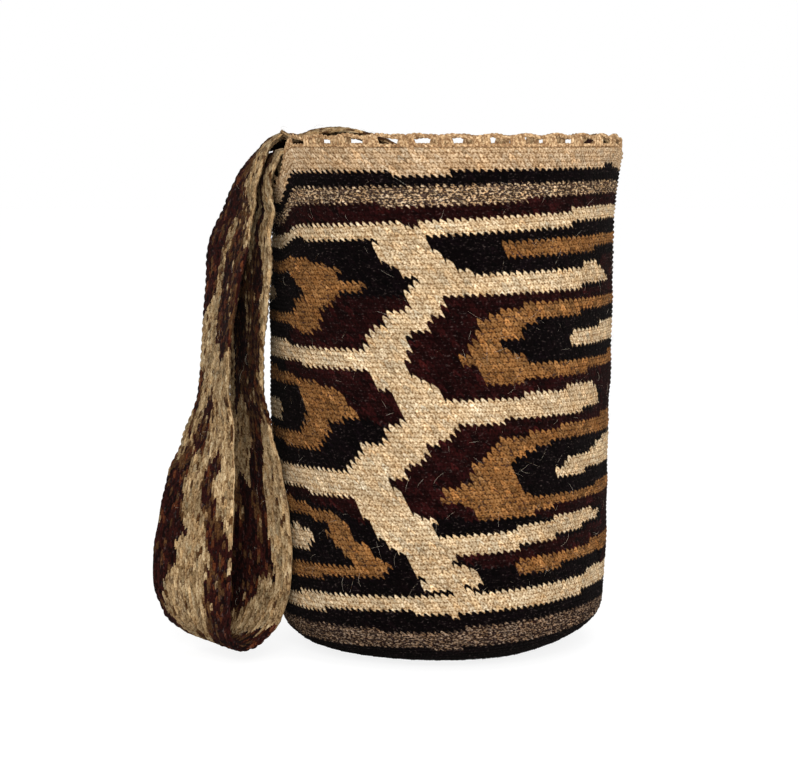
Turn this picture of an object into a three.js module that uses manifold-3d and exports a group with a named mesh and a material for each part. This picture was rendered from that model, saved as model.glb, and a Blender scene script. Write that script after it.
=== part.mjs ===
// A round woven wool shoulder bag (mochila), standing open on its base.
// Millimetres, +Z up, origin at the centre of the flat base. The side shown to the viewer faces -Y.
// The carrying strap is sewn inside the mouth at both sides. It comes out over the left rim,
// hangs in a loop beside the bag and crosses the mouth to its other end.

import * as THREE from "three";
import { mergeVertices } from "three/addons/utils/BufferGeometryUtils.js";
import Module from "manifold-3d";

// Bag body
const RIM_HEIGHT = 298; // top of the fabric, where nothing pulls on it
const BAG_RADIUS = 103; // outside, two thirds of the way up
const FOOT_TAPER = 4.6; // how much narrower the wall is just above the base
const TAPER_END = 0.7; // share of the height where the taper ends
const RIM_FLARE = 5.4; // how much wider the mouth is
const FLARE_HEIGHT = 46; // the stretch below the rim that flares
const CORNER_WIDTH = 24; // rounding from the flat base to the wall, inwards
const CORNER_HEIGHT = 30; // and upwards
const WALL = 3.5;
const FLOOR_THICKNESS = 4;

// Where the strap pulls the rim down and in
const PULL_ANGLE = 187; // degrees round from +X
const PULL_BEYOND = 4.3; // past half the gathered band's width, that goes down by the whole drop
const PULL_SLOPE = 28.8; // from there up to the undisturbed rim
const PULL_DROP = 24;
const PULL_INSET = 5;
const PULL_START = 0.62; // share of the height above which the wall gives way
const RIGHT_PULL_ANGLE = 3;
const RIGHT_PULL_FLAT = 8;
const RIGHT_PULL_SPREAD = 24;
const RIGHT_PULL_DROP = 3;

// Crocheted edging with a row of eyelets
const EDGING_GAP = 0.45;
const EDGING_THICKNESS = 2.8;
const EDGING_FOOT = 1.8; // chain along the fabric's edge
const EYELET_HEIGHT = 2.8;
const EYELET_WIDTH = 11;
const EYELET_COUNT = 32;
const EDGING_TOP = 2.8; // chain along the top

// Strap
const STRAP_WIDTH = 58;
const STRAP_THICKNESS = 4.2;
const STRAP_GAP = 0.8; // between the strap and what it lies against
const STRAP_FOLD = 3; // extra thickness where the band is fully gathered into folds
const STRAP_ANGLE = 194; // degrees round from +X where it crosses the left rim
const STRAP_END_ANGLE = 3; // degrees round from +X where its other end is sewn
const LOOP_FLOOR_GAP = 3.4; // under the lowest turn of the loop
const RIM_CREST = 8; // how far the bend over the rim stands off the edging
const RIM_GATHER = 0.72; // share of its width that the band keeps where it crosses the rim
const SEWN_GATHER = 0.78; // and where it is sewn
const SEWN_STEP = 13; // between the stations of a sewn end
const LEFT_END_BELOW = 54; // the sewn ends, below the undisturbed rim
const RIGHT_END_BELOW = 38;

// Yarn stitches round each sewn end
const SEAM_THICKNESS = 2;
const SEAM_WIDTH = 4.5;
const SEAM_LENGTH = 25;
const SEAM_INSET = 1.5; // from the band's edges and end
const SEAM_GAP = 0.6;
const SEAM_STEP = 4;

const ROUND_STEPS = 72;
const WALL_STEPS = 12;
const CORNER_STEPS = 5;
const STRAP_STEPS = 150;
const STRAP_SECTION_STEPS = 6;

const wasm = await Module();
wasm.setup();

const degrees = THREE.MathUtils.degToRad;
const footRadius = BAG_RADIUS - FOOT_TAPER;
const rimRadius = BAG_RADIUS + RIM_FLARE;
const edgingHeight = EDGING_FOOT + EYELET_HEIGHT + EDGING_TOP;
const pullFlat = THREE.MathUtils.radToDeg((STRAP_WIDTH * RIM_GATHER / 2 + PULL_BEYOND) / BAG_RADIUS);
const pullSpread = pullFlat + THREE.MathUtils.radToDeg(PULL_SLOPE / BAG_RADIUS);

// Outside radius of the wall at a height above the rounded corner.
function wallRadius(height) {
  const rise = THREE.MathUtils.clamp((height - CORNER_HEIGHT) / (RIM_HEIGHT * TAPER_END - CORNER_HEIGHT), 0, 1);
  const flare = THREE.MathUtils.clamp((height - RIM_HEIGHT + FLARE_HEIGHT) / FLARE_HEIGHT, 0, 1);
  return footRadius + FOOT_TAPER * rise + RIM_FLARE * flare * flare;
}

// One soft bump round the bag, from 0 at its edges to 1 over its flat middle.
function pull(angle, middle, flat, spread) {
  const off = Math.atan2(Math.sin(angle - degrees(middle)), Math.cos(angle - degrees(middle)));
  const share = (Math.abs(off) - degrees(flat)) / degrees(spread - flat);
  return Math.cos(THREE.MathUtils.clamp(share, 0, 1) * Math.PI / 2) ** 2;
}

// Lets the upper wall give way under the strap.
function giveWay(point) {
  const angle = Math.atan2(point.y, point.x);
  const radius = Math.hypot(point.x, point.y);
  if (radius < 1e-6) {
    return point;
  }
  const share = THREE.MathUtils.clamp(point.z / RIM_HEIGHT, 0, 1);
  const rise = THREE.MathUtils.clamp((share - PULL_START) / (1 - PULL_START), 0, 1);
  const left = pull(angle, PULL_ANGLE, pullFlat, pullSpread) * rise * rise;
  const right = pull(angle, RIGHT_PULL_ANGLE, RIGHT_PULL_FLAT, RIGHT_PULL_SPREAD) * rise * rise;
  const newRadius = radius - PULL_INSET * left;
  point.x *= newRadius / radius;
  point.y *= newRadius / radius;
  point.z -= PULL_DROP * left + RIGHT_PULL_DROP * right;
  return point;
}

function displace(geometry, move) {
  const position = geometry.attributes.position;
  const point = new THREE.Vector3();
  for (let i = 0; i < position.count; i += 1) {
    point.fromBufferAttribute(position, i);
    move(point);
    position.setXYZ(i, point.x, point.y, point.z);
  }
  return geometry;
}

// LatheGeometry turns about Y, so the result is stood up along Z.
function lathe(profile, steps) {
  const points = profile.map(([radius, height]) => new THREE.Vector2(radius, height));
  const geometry = new THREE.LatheGeometry(points, steps);
  geometry.rotateX(Math.PI / 2);
  return geometry;
}

function tidy(geometry) {
  geometry.deleteAttribute("normal");
  geometry.deleteAttribute("uv");
  const merged = mergeVertices(geometry, 1e-4);
  return merged;
}

// Turns a closed surface's faces out where its mapping has turned them in.
function facingOut(geometry) {
  const position = geometry.attributes.position;
  const index = geometry.index.array;
  const [a, b, c] = [new THREE.Vector3(), new THREE.Vector3(), new THREE.Vector3()];
  let volume = 0;
  for (let i = 0; i < index.length; i += 3) {
    a.fromBufferAttribute(position, index[i]);
    b.fromBufferAttribute(position, index[i + 1]);
    c.fromBufferAttribute(position, index[i + 2]);
    volume += a.dot(b.cross(c));
  }
  if (volume < 0) {
    index.reverse();
  }
  return geometry;
}

function toSolid(geometry) {
  const merged = tidy(geometry);
  return new wasm.Manifold(new wasm.Mesh({
    numProp: 3,
    vertProperties: new Float32Array(merged.attributes.position.array),
    triVerts: new Uint32Array(merged.index.array),
  }));
}

function fromSolid(solid) {
  const mesh = solid.getMesh();
  const geometry = new THREE.BufferGeometry();
  geometry.setAttribute("position", new THREE.BufferAttribute(new Float32Array(mesh.vertProperties), 3));
  geometry.setIndex(new THREE.BufferAttribute(new Uint32Array(mesh.triVerts), 1));
  return geometry;
}

function part(name, geometry, color, roughness) {
  geometry.computeVertexNormals();
  const mesh = new THREE.Mesh(geometry, new THREE.MeshStandardMaterial({ color, roughness, metalness: 0 }));
  mesh.name = name;
  return mesh;
}

// The looped wool shell: flat base, rounded corner, wall and open mouth, all one fabric.
function bagBody() {
  const outerLine = [[0, 0]];
  const innerLine = [];
  const baseRadius = footRadius - CORNER_WIDTH;
  for (let i = 0; i <= CORNER_STEPS; i += 1) {
    const turn = (i / CORNER_STEPS) * Math.PI / 2;
    const out = Math.sin(turn);
    const up = 1 - Math.cos(turn);
    outerLine.push([baseRadius + CORNER_WIDTH * out, CORNER_HEIGHT * up]);
    innerLine.push([
      baseRadius + (CORNER_WIDTH - WALL) * out,
      FLOOR_THICKNESS + (CORNER_HEIGHT - FLOOR_THICKNESS) * up,
    ]);
  }
  for (let i = 1; i <= WALL_STEPS; i += 1) {
    const height = CORNER_HEIGHT + (RIM_HEIGHT - CORNER_HEIGHT) * i / WALL_STEPS;
    outerLine.push([wallRadius(height), height]);
    innerLine.push([wallRadius(height) - WALL, height]);
  }
  const profile = [...outerLine, ...innerLine.reverse(), [0, FLOOR_THICKNESS]];
  return displace(tidy(lathe(profile, ROUND_STEPS)), giveWay);
}

// The openwork edging: two chains round the mouth with a row of eyelets between them.
function rimEdging() {
  const middle = rimRadius - WALL / 2;
  const low = RIM_HEIGHT + EDGING_GAP;
  const high = low + edgingHeight;
  const inner = middle - EDGING_THICKNESS / 2;
  const outer = middle + EDGING_THICKNESS / 2;
  const ring = lathe([[inner, low], [outer, low], [outer, high], [inner, high], [inner, low]], ROUND_STEPS);
  let solid = toSolid(ring);
  for (let i = 0; i < EYELET_COUNT; i += 1) {
    const eyelet = new THREE.BoxGeometry(EDGING_THICKNESS * 3, EYELET_WIDTH, EYELET_HEIGHT);
    eyelet.translate(middle, 0, low + EDGING_FOOT + EYELET_HEIGHT / 2);
    eyelet.rotateZ((i + 0.5) / EYELET_COUNT * Math.PI * 2);
    solid = solid.subtract(toSolid(eyelet));
  }
  return displace(fromSolid(solid), giveWay);
}

// Each station of the strap is its middle point, its turn about Z and its roll in degrees,
// how far the band is gathered in width, and how far its edges curve towards the bag's axis.
// A turn of 90 puts the strap's width along Y, and a positive roll lifts its near edge.
function station(middle, turn, roll = 0, gather = 1, bow = 0) {
  return { middle, turn, roll, gather, bow };
}

function gatheredThickness(gather) {
  return STRAP_THICKNESS + STRAP_FOLD * (1 - gather);
}

// A place given from the wall's outside face and the fabric's top edge, which moves as they give way.
function byWall(angle, outward, below) {
  const height = RIM_HEIGHT - below;
  const radius = wallRadius(Math.min(height, RIM_HEIGHT)) + outward;
  const turn = degrees(angle);
  return giveWay(new THREE.Vector3(radius * Math.cos(turn), radius * Math.sin(turn), height));
}

// How far the edges curve to follow the wall.
function wallBow(gather) {
  const halfWidth = STRAP_WIDTH * gather / 2;
  return halfWidth * halfWidth / (2 * BAG_RADIUS);
}

// Flat against the inside of the wall.
function inside(angle, below, gather) {
  const outward = -WALL - STRAP_GAP - gatheredThickness(gather) / 2;
  return station(byWall(angle, outward, below), (270 - angle) % 180, 0, gather, wallBow(gather));
}

// Over the edging, one layer up for the first run and two for the second.
function overRim(angle, outward, layer, lift, roll, gather) {
  const thickness = gatheredThickness(gather);
  const above = EDGING_GAP + edgingHeight + (layer - 0.5) * thickness + layer * STRAP_GAP + lift;
  const middle = byWall(angle, outward - WALL / 2, -above);
  return station(middle, (270 - angle) % 180, roll, gather, wallBow(gather));
}

function outside(angle, outward, below, turn, roll, gather) {
  return station(byWall(angle, outward, below), turn, roll, gather, wallBow(gather));
}

// The hanging runs lean on the wall by an edge, so they stand off it by a share of the band's width.
function hanging(outward, side, share, turn, gather = 1) {
  const height = LOOP_FLOOR_GAP + share * (RIM_HEIGHT - LOOP_FLOOR_GAP);
  return station(new THREE.Vector3(-(BAG_RADIUS + outward * STRAP_WIDTH), side, height), turn, 0, gather);
}

function aboveFloor(outward, side, above, turn) {
  const x = -(BAG_RADIUS + outward * STRAP_WIDTH);
  return station(new THREE.Vector3(x, side, LOOP_FLOOR_GAP + above), turn);
}

function acrossMouth(share, side, above, turn, roll = 0, gather = 1) {
  return station(new THREE.Vector3(share * BAG_RADIUS, side, RIM_HEIGHT + above), turn, roll, gather);
}

// From the end sewn inside the left wall to the end sewn inside the right wall.
const STRAP_STATIONS = [
  inside(STRAP_ANGLE, LEFT_END_BELOW, SEWN_GATHER),
  inside(STRAP_ANGLE, LEFT_END_BELOW - SEWN_STEP, SEWN_GATHER),
  inside(STRAP_ANGLE, LEFT_END_BELOW - SEWN_STEP * 2, 0.76),
  inside(STRAP_ANGLE, 12, RIM_GATHER),
  inside(STRAP_ANGLE, -4, RIM_GATHER),
  overRim(STRAP_ANGLE, -0.6, 1, RIM_CREST, 9, RIM_GATHER),
  outside(STRAP_ANGLE, 6.4, -5, 75, 6, RIM_GATHER),
  outside(STRAP_ANGLE, 8.2, 8, 74, 0, 0.76),
  outside(STRAP_ANGLE, 9.6, 22, 71, 0, 0.82),
  hanging(0.138, -28, 0.84, 63, 0.92),
  hanging(0.172, -27.5, 0.77, 61),
  hanging(0.190, -27, 0.69, 64),
  hanging(0.207, -27.5, 0.60, 68),
  hanging(0.207, -28.5, 0.52, 68),
  hanging(0.181, -30, 0.43, 60),
  hanging(0.155, -32, 0.35, 50),
  hanging(0.138, -35, 0.26, 41),
  hanging(0.138, -37.5, 0.19, 36),
  aboveFloor(0.155, -38, 40, 36),
  aboveFloor(0.198, -39, 23, 43),
  aboveFloor(0.302, -42.5, 10, 54),
  aboveFloor(0.448, -47.5, 5.2, 60),
  aboveFloor(0.595, -52.5, 10, 54),
  aboveFloor(0.698, -56, 23, 42),
  aboveFloor(0.741, -57.5, 40, 34),
  hanging(0.733, -57, 0.20, 34),
  hanging(0.698, -54, 0.27, 38),
  hanging(0.655, -50, 0.345, 44),
  hanging(0.586, -45, 0.42, 56),
  hanging(0.534, -39, 0.52, 70),
  hanging(0.509, -34, 0.62, 71),
  hanging(0.457, -31, 0.715, 68),
  hanging(0.388, -29, 0.805, 62, 0.95),
  hanging(0.267, -28, 0.882, 66, 0.84),
  hanging(0.198, -27.5, 0.932, 70, 0.76),
  overRim(STRAP_ANGLE, 5, 2, RIM_CREST - 0.6, 12, RIM_GATHER),
  overRim(STRAP_ANGLE, -3, 2, RIM_CREST + 3.2, 12, RIM_GATHER),
  acrossMouth(-0.82, -25, 4.6, 76, 6, RIM_GATHER),
  acrossMouth(-0.72, -26, 7.8, 76, 2, RIM_GATHER),
  acrossMouth(-0.61, -26, 9.2, 76, 0, 0.74),
  acrossMouth(-0.5, -25, 7.8, 77, 0, 0.78),
  acrossMouth(-0.35, -23, 2.6, 78, 0, 0.84),
  acrossMouth(-0.18, -19, -8, 80, 0, 0.9),
  acrossMouth(0.05, -13, -22, 82),
  acrossMouth(0.29, -8, -31, 84),
  acrossMouth(0.53, -3, -33, 86),
  acrossMouth(0.72, 1, -27, 87, 0, 0.94),
  outside(STRAP_END_ANGLE, -22.6, 13, 87, 0, 0.88),
  outside(STRAP_END_ANGLE, -19.6, 2, 87, 0, 0.84),
  outside(STRAP_END_ANGLE, -13.2, -8.4, 87, 0, 0.82),
  inside(STRAP_END_ANGLE, -2, 0.8),
  inside(STRAP_END_ANGLE, 12, SEWN_GATHER),
  inside(STRAP_END_ANGLE, RIGHT_END_BELOW - SEWN_STEP, SEWN_GATHER),
  inside(STRAP_END_ANGLE, RIGHT_END_BELOW, SEWN_GATHER),
];

const strapPath = new THREE.CatmullRomCurve3(STRAP_STATIONS.map((entry) => entry.middle), false, "centripetal");

// Middle, width direction, thickness direction and shape of the strap at a share of its stations.
function strapFrame(share) {
  const place = share * (STRAP_STATIONS.length - 1);
  const index = Math.min(Math.floor(place), STRAP_STATIONS.length - 2);
  const blend = THREE.MathUtils.smoothstep(place - index, 0, 1);
  const before = STRAP_STATIONS[index];
  const after = STRAP_STATIONS[index + 1];
  const mix = (key) => THREE.MathUtils.lerp(before[key], after[key], blend);
  const turn = degrees(mix("turn"));
  const roll = degrees(mix("roll"));
  const along = strapPath.getTangent(share);
  const across = new THREE.Vector3(
    Math.cos(turn) * Math.cos(roll),
    -Math.sin(turn) * Math.cos(roll),
    Math.sin(roll),
  );
  across.addScaledVector(along, -across.dot(along)).normalize();
  const through = new THREE.Vector3().crossVectors(across, along).normalize();
  return { middle: strapPath.getPoint(share), across, through, gather: mix("gather"), bow: mix("bow") };
}

function outwardOf(frame) {
  return new THREE.Vector3(frame.middle.x, frame.middle.y, 0).normalize();
}

// Which way along the band's thickness the bag's axis lies.
function towardsAxis(frame) {
  return frame.through.dot(outwardOf(frame)) > 0 ? -1 : 1;
}

// A point of the band: offset runs from -1 to 1 over its width, height from its middle layer.
function strapPoint(frame, offset, height) {
  const point = frame.middle.clone();
  point.addScaledVector(frame.across, offset * STRAP_WIDTH * frame.gather / 2);
  point.addScaledVector(frame.through, height);
  point.addScaledVector(outwardOf(frame), -frame.bow * offset * offset);
  return point;
}

// One closed woven band, swept along its path with a flat section.
function strap() {
  const vertices = [];
  const sectionSize = (STRAP_SECTION_STEPS + 1) * 2;
  for (let i = 0; i <= STRAP_STEPS; i += 1) {
    const share = i / STRAP_STEPS;
    const frame = strapFrame(share);
    const thickness = gatheredThickness(frame.gather);
    for (let side = -1; side <= 1; side += 2) {
      for (let k = 0; k <= STRAP_SECTION_STEPS; k += 1) {
        const offset = side * (2 * k / STRAP_SECTION_STEPS - 1);
        const point = strapPoint(frame, offset, side * thickness / 2);
        vertices.push(point.x, point.y, point.z);
      }
    }
  }
  const indices = [];
  for (let i = 0; i < STRAP_STEPS; i += 1) {
    for (let k = 0; k < sectionSize; k += 1) {
      const a = i * sectionSize + k;
      const b = i * sectionSize + (k + 1) % sectionSize;
      const c = a + sectionSize;
      const d = b + sectionSize;
      indices.push(a, b, c, b, d, c);
    }
  }
  const last = STRAP_STEPS * sectionSize;
  for (let k = 0; k < STRAP_SECTION_STEPS; k += 1) {
    const a = k;
    const b = k + 1;
    const c = sectionSize - 1 - k;
    const d = sectionSize - 2 - k;
    indices.push(a, c, b, b, c, d);
    indices.push(last + a, last + b, last + c, last + b, last + d, last + c);
  }
  const geometry = new THREE.BufferGeometry();
  geometry.setAttribute("position", new THREE.Float32BufferAttribute(vertices, 3));
  geometry.setIndex(indices);
  return geometry;
}

// Whip stitches that hold a sewn end: a flat line of yarn on the band, down both edges and across the end.
function strapSeam(startsHere) {
  const outer = 1 - SEAM_INSET / (STRAP_WIDTH / 2);
  const inner = outer - SEAM_WIDTH / (STRAP_WIDTH / 2);
  const corners = [
    [-outer, SEAM_LENGTH], [-outer, SEAM_INSET], [outer, SEAM_INSET], [outer, SEAM_LENGTH],
    [inner, SEAM_LENGTH], [inner, SEAM_INSET + SEAM_WIDTH],
    [-inner, SEAM_INSET + SEAM_WIDTH], [-inner, SEAM_LENGTH],
  ];
  const outline = corners.flatMap(([x, y], i) => {
    const [nextX, nextY] = corners[(i + 1) % corners.length];
    const steps = Math.ceil(Math.hypot((nextX - x) * STRAP_WIDTH / 2, nextY - y) / SEAM_STEP);
    return Array.from({ length: steps }, (unused, k) => new THREE.Vector2(
      THREE.MathUtils.lerp(x, nextX, k / steps),
      THREE.MathUtils.lerp(y, nextY, k / steps),
    ));
  });
  const shape = new THREE.Shape(outline);
  const flat = new THREE.ExtrudeGeometry(shape, { depth: SEAM_THICKNESS, bevelEnabled: false, steps: 1 });
  const fromEnd = 1 / (SEWN_STEP * (STRAP_STATIONS.length - 1));
  return facingOut(displace(tidy(flat), (point) => {
    const share = startsHere ? point.y * fromEnd : 1 - point.y * fromEnd;
    const frame = strapFrame(share);
    const height = gatheredThickness(frame.gather) / 2 + SEAM_GAP + point.z;
    point.copy(strapPoint(frame, point.x, towardsAxis(frame) * height));
  }));
}

const model = new THREE.Group();
model.add(part("bag_body", bagBody(), 0x3a2418, 0.95));
model.add(part("rim_edging", rimEdging(), 0xc6a574, 0.95));
model.add(part("strap", strap(), 0x8a6a48, 0.95));
model.add(part("strap_seam_left", strapSeam(true), 0xb9966a, 0.95));
model.add(part("strap_seam_right", strapSeam(false), 0xb9966a, 0.95));

export default model;
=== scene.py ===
# Looks for the round woven wool shoulder bag. Sizes are in millimetres and become metres in add_mesh.

import math

import bpy
import numpy as np
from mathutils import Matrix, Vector


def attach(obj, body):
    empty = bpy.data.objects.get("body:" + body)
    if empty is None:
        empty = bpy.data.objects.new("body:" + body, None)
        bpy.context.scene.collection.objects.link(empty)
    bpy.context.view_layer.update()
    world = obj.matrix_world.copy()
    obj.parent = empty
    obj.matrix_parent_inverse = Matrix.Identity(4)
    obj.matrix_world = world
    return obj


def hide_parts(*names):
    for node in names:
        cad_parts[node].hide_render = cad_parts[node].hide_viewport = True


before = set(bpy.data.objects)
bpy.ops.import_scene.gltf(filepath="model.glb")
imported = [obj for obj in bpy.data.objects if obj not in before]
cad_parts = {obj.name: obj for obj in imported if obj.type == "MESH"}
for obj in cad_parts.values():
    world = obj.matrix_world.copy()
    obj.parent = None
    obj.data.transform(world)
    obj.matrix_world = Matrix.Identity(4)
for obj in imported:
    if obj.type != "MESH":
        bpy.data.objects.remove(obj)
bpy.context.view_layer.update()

MM = 0.001

# Bag body, as in the CAD model
RIM_HEIGHT = 298
BAG_RADIUS = 103
FOOT_TAPER = 4.6
TAPER_END = 0.7
RIM_FLARE = 5.4
FLARE_HEIGHT = 46
CORNER_WIDTH = 24
CORNER_HEIGHT = 30
WALL = 3.5
FLOOR_THICKNESS = 4
FOOT_RADIUS = BAG_RADIUS - FOOT_TAPER
BASE_RADIUS = FOOT_RADIUS - CORNER_WIDTH
RIM_RADIUS = BAG_RADIUS + RIM_FLARE

# Where the strap pulls the rim down and in
PULL_ANGLE = 187
PULL_BEYOND = 4.3
PULL_SLOPE = 28.8
PULL_DROP = 24
PULL_INSET = 5
PULL_START = 0.62
RIGHT_PULL_ANGLE = 3
RIGHT_PULL_FLAT = 8
RIGHT_PULL_SPREAD = 24
RIGHT_PULL_DROP = 3

# How the edge of the soft foot rounds off from the floor, most of all on the right
FOOT_FLAT_RADIUS = 52
FOOT_ROUND_RADIUS = 84
FOOT_ROUND_HEIGHT = 55
FOOT_LIFT = 3.5
RIGHT_FOOT_LIFT = 6
RIGHT_FOOT_ANGLE = -10
RIGHT_FOOT_SPREAD = 60

# Crocheted edging
EDGING_GAP = 0.45
EDGING_FOOT = 1.8
EYELET_HEIGHT = 2.8
EYELET_WIDTH = 11
EYELET_COUNT = 32
RIM_STEPS = EYELET_COUNT * 24
EDGING_TOP = 2.8
EDGING_HEIGHT = EDGING_FOOT + EYELET_HEIGHT + EDGING_TOP
# Its two cords: height, how much they follow the scallops, twist radius, yarn radius and twists
FOOT_CORD = (1.15, 0, 0.5, 0.75, 126)
CREST_CORD = (EDGING_GAP + EDGING_HEIGHT - 1.6, 1, 0.6, 0.8, 110)
FAN_POSTS = 3  # on each side of a fan's middle post
FAN_SPACING = 0.128

# Strap
STRAP_WIDTH = 58
STRAP_THICKNESS = 4.2
STRAP_GAP = 0.8
STRAP_FOLD = 3
STRAP_ANGLE = 194
STRAP_END_ANGLE = 3
LOOP_FLOOR_GAP = 3.4
RIM_CREST = 8
RIM_GATHER = 0.72
SEWN_GATHER = 0.78
SEWN_STEP = 13
LEFT_END_BELOW = 54
RIGHT_END_BELOW = 38

# Seams that hold the ends of the strap, in a U whose line runs near the band's edges and its end
SEAM_HALF_WIDTH = 19.7
SEAM_BAR = 3.75
SEAM_REACH = 23
SEAM_LIFT = 0.85
SEAM_STEP = 3.85
SEAM_STITCH = 3.4
SEAM_SLANT = 2.2
SEAM_YARN = 0.62

FIBRE_COUNT = 520
STRAP_FIBRE_COUNT = 150
HAIR_RADIUS = 0.02
HAIR_POINTS = 7
HAIR_LENGTHS = (4, 14)
HAIR_STANDS = (0.9, 2.4)
HAIR_ROOT = 0.3  # how far the ends of a hair go into the body
HAIR_HEIGHTS = (34, 276)
HAIR_END_GAP = 20
HAIR_SPREAD = 14

# Looped stitches of the body: each is two legs side by side, and its tip reaches into the row above
STITCHES_ROUND = 160
ROW_COUNT = 111
WALL_ROWS = 96
CELLS_ACROSS = 4  # grid cells across a stitch
CELLS_DOWN = 3  # grid cells up a stitch
STITCH_RELIEF = 0.85
STITCH_LEAN = 0.36  # of a stitch to the right, for each row down
RELIEF_ACROSS = (0.1, 1.0, 0.45, 0.92)  # share of the relief at each grid column of a stitch
RELIEF_ALONG = (0.2, 1.0, 0.9)  # and at each grid row
RELIEF_SUNK = 0.45
INNER_RELIEF = 0.5
LIFT_SPREAD = 0.16
HIDDEN_PLACE = 0.4  # place in a stitch that hidden faces and tubes use
YARN_NUMBERS = 50  # the numbers that the material draws chances from start again here
BROAD_LUMPS = 0.55
SMALL_LUMPS = 0.35
RIM_FADE = 30
FOOT_FADE = 40
COLUMNS = STITCHES_ROUND * CELLS_ACROSS
SUBROWS = ROW_COUNT * CELLS_DOWN
WALL_SUBROWS = WALL_ROWS * CELLS_DOWN
BAND_SUBROWS = WALL_SUBROWS // 3

# Foot of the bag
BASE_RINGS = 46
BASE_TUCK = 0.7  # how far its edge goes in between the sides of the fabric round it
BASE_RELIEF_ROUND = (0.2, 0.9)
BASE_RELIEF_IN = (0.3, 1.0)
BASE_RELIEF_FADE = 20

# Braid of the strap
BRAID_STEP = 1.18
BRAID_CORDS = 28
BRAID_COLUMNS = BRAID_CORDS * 2
STROKE_ROWS = 4
STROKE_RELIEF = (0.1, 0.85, 1.0, 0.8)
BRAID_RELIEF = 0.85
BRAID_ROOM = 0.55  # how far the ground of the braid lies under the band's face
BRAID_LEAN = 0.25  # of half a cord's width, to each side
BRAID_LIFT_SPREAD = 0.12
FOLD_WAVE = 0.9  # height of the lengthwise folds where the band is gathered
NEARBY = 0.005  # of the way between two stations, to find the direction of the path
FINE_STEPS = 6000
EDGE_PLACE = 0.5
HOLLOW_DEPTH = 4.5
HOLLOW_PLACE = 31.5  # in stations along the strap
HOLLOW_SPREAD = 2.2

# Studio; the drop is in metres
WHITE = (1, 1, 1, 1)
SURROUND_POWER = 0.62
FLOOR_DROP = -0.0008
FLOOR_GLOW = 1.175
FLOOR_GLOW_SHARE = 0.72

# Yarn colours as they look, from 0 to 255
YARNS = {
    "cream": (199, 176, 142),
    "cream_dark": (146, 116, 80),
    "rim": (186, 159, 126),
    "rim_dark": (136, 106, 74),
    "black": (5, 2, 3),
    "maroon": (25, 5, 5),
    "caramel": (129, 90, 51),
    "caramel_dark": (56, 31, 17),
    "marl_light": (180, 154, 122),
    "marl_dark": (58, 42, 34),
    "foot_light": (134, 112, 92),
    "foot_dark": (28, 14, 12),
    "tan": (152, 126, 91),
    "pale_tan": (178, 152, 114),
    "tan_dark": (96, 72, 47),
    "beige": (138, 117, 86),
    "brown": (78, 53, 31),
    "brown_dark": (48, 28, 18),
    "rust": (80, 42, 24),
    "wine": (42, 15, 12),
    "soot": (16, 6, 6),
    "edging": (186, 155, 117),
    "edging_dark": (138, 106, 74),
    "hair": (188, 176, 158),
}
# What each yarn is spun from: its two plies, and how much single stitches differ in lightness
SPUN = {
    "cream": ("cream", "cream_dark", 0.13),
    "rim": ("rim", "rim_dark", 0.13),
    "black": ("black", "black", 0.4),
    "maroon": ("maroon", "maroon", 0.45),
    "caramel": ("caramel", "caramel_dark", 0.24),
    "marl": ("marl_light", "marl_dark", 0.2),
    "foot_marl": ("foot_light", "foot_dark", 0.2),
    "wine": ("wine", "soot", 0.13),
    "soot": ("soot", "wine", 0.13),
    "brown": ("brown", "brown_dark", 0.13),
    "rust": ("rust", "wine", 0.13),
    "tan": ("tan", "tan_dark", 0.13),
    "pale_tan": ("pale_tan", "tan", 0.13),
    "beige": ("beige", "tan_dark", 0.13),
}


def linear(colour):
    """A colour from 0 to 255 as Blender's linear red, green and blue."""
    share = np.array(colour, float) / 255
    return np.where(share <= 0.04045, share / 12.92, ((share + 0.055) / 1.055) ** 2.4)


def smooth_noise(across, along, seed, count=9):
    """A soft field between about -1 and 1, made of a few waves."""
    waves = np.random.default_rng(seed)
    total = np.zeros(np.broadcast(across, along).shape)
    for _ in range(count):
        direction = waves.uniform(-1, 1, 2)
        total = total + np.sin(across * direction[0] + along * direction[1] + waves.uniform(0, 6.28))
    return total / math.sqrt(count)


def add_object(name, data, place=(0, 0, 0)):
    thing = bpy.data.objects.new(name, data)
    thing.location = place
    bpy.context.scene.collection.objects.link(thing)
    return thing


def add_mesh(name, points, faces, corners, uvs, material):
    """A smooth piece from points in millimetres, arrays of faces, and values for each face's corners."""
    mesh = bpy.data.meshes.new(name)
    loops = np.concatenate([face.ravel() for face in faces]).astype(np.int32)
    sizes = np.concatenate([np.full(len(face), face.shape[1]) for face in faces])
    starts = np.concatenate([[0], np.cumsum(sizes)[:-1]]).astype(np.int32)
    mesh.vertices.add(len(points))
    mesh.vertices.foreach_set("co", (points * MM).astype(np.float32).ravel())
    mesh.loops.add(len(loops))
    mesh.loops.foreach_set("vertex_index", loops)
    mesh.polygons.add(len(sizes))
    mesh.polygons.foreach_set("loop_start", starts)
    mesh.polygons.foreach_set("use_smooth", np.ones(len(sizes), bool))
    mesh.update(calc_edges=True)
    for key, values in corners.items():
        kind, slot = ("FLOAT_COLOR", "color") if values.shape[1] == 4 else ("FLOAT_VECTOR", "vector")
        attribute = mesh.attributes.new(key, kind, "CORNER")
        attribute.data.foreach_set(slot, values.astype(np.float32).ravel())
    layer = mesh.uv_layers.new(name="OFBake")
    layer.data.foreach_set("uv", uvs.astype(np.float32).ravel())
    mesh.materials.append(material)
    return add_object(name, mesh)


def clamp(value):
    return np.clip(value, 0, 1)


def unit(vectors):
    return vectors / np.linalg.norm(vectors, axis=-1)[..., None]


def grid(rows, columns):
    """The row and the column of every point of a grid."""
    return np.meshgrid(np.arange(rows), np.arange(columns), indexing="ij")


def round_axis(radius, turn, height):
    """Points round the bag's axis. Turn is in radians to the right of the front."""
    return np.stack([radius * np.sin(turn), -radius * np.cos(turn), height], -1)


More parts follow.
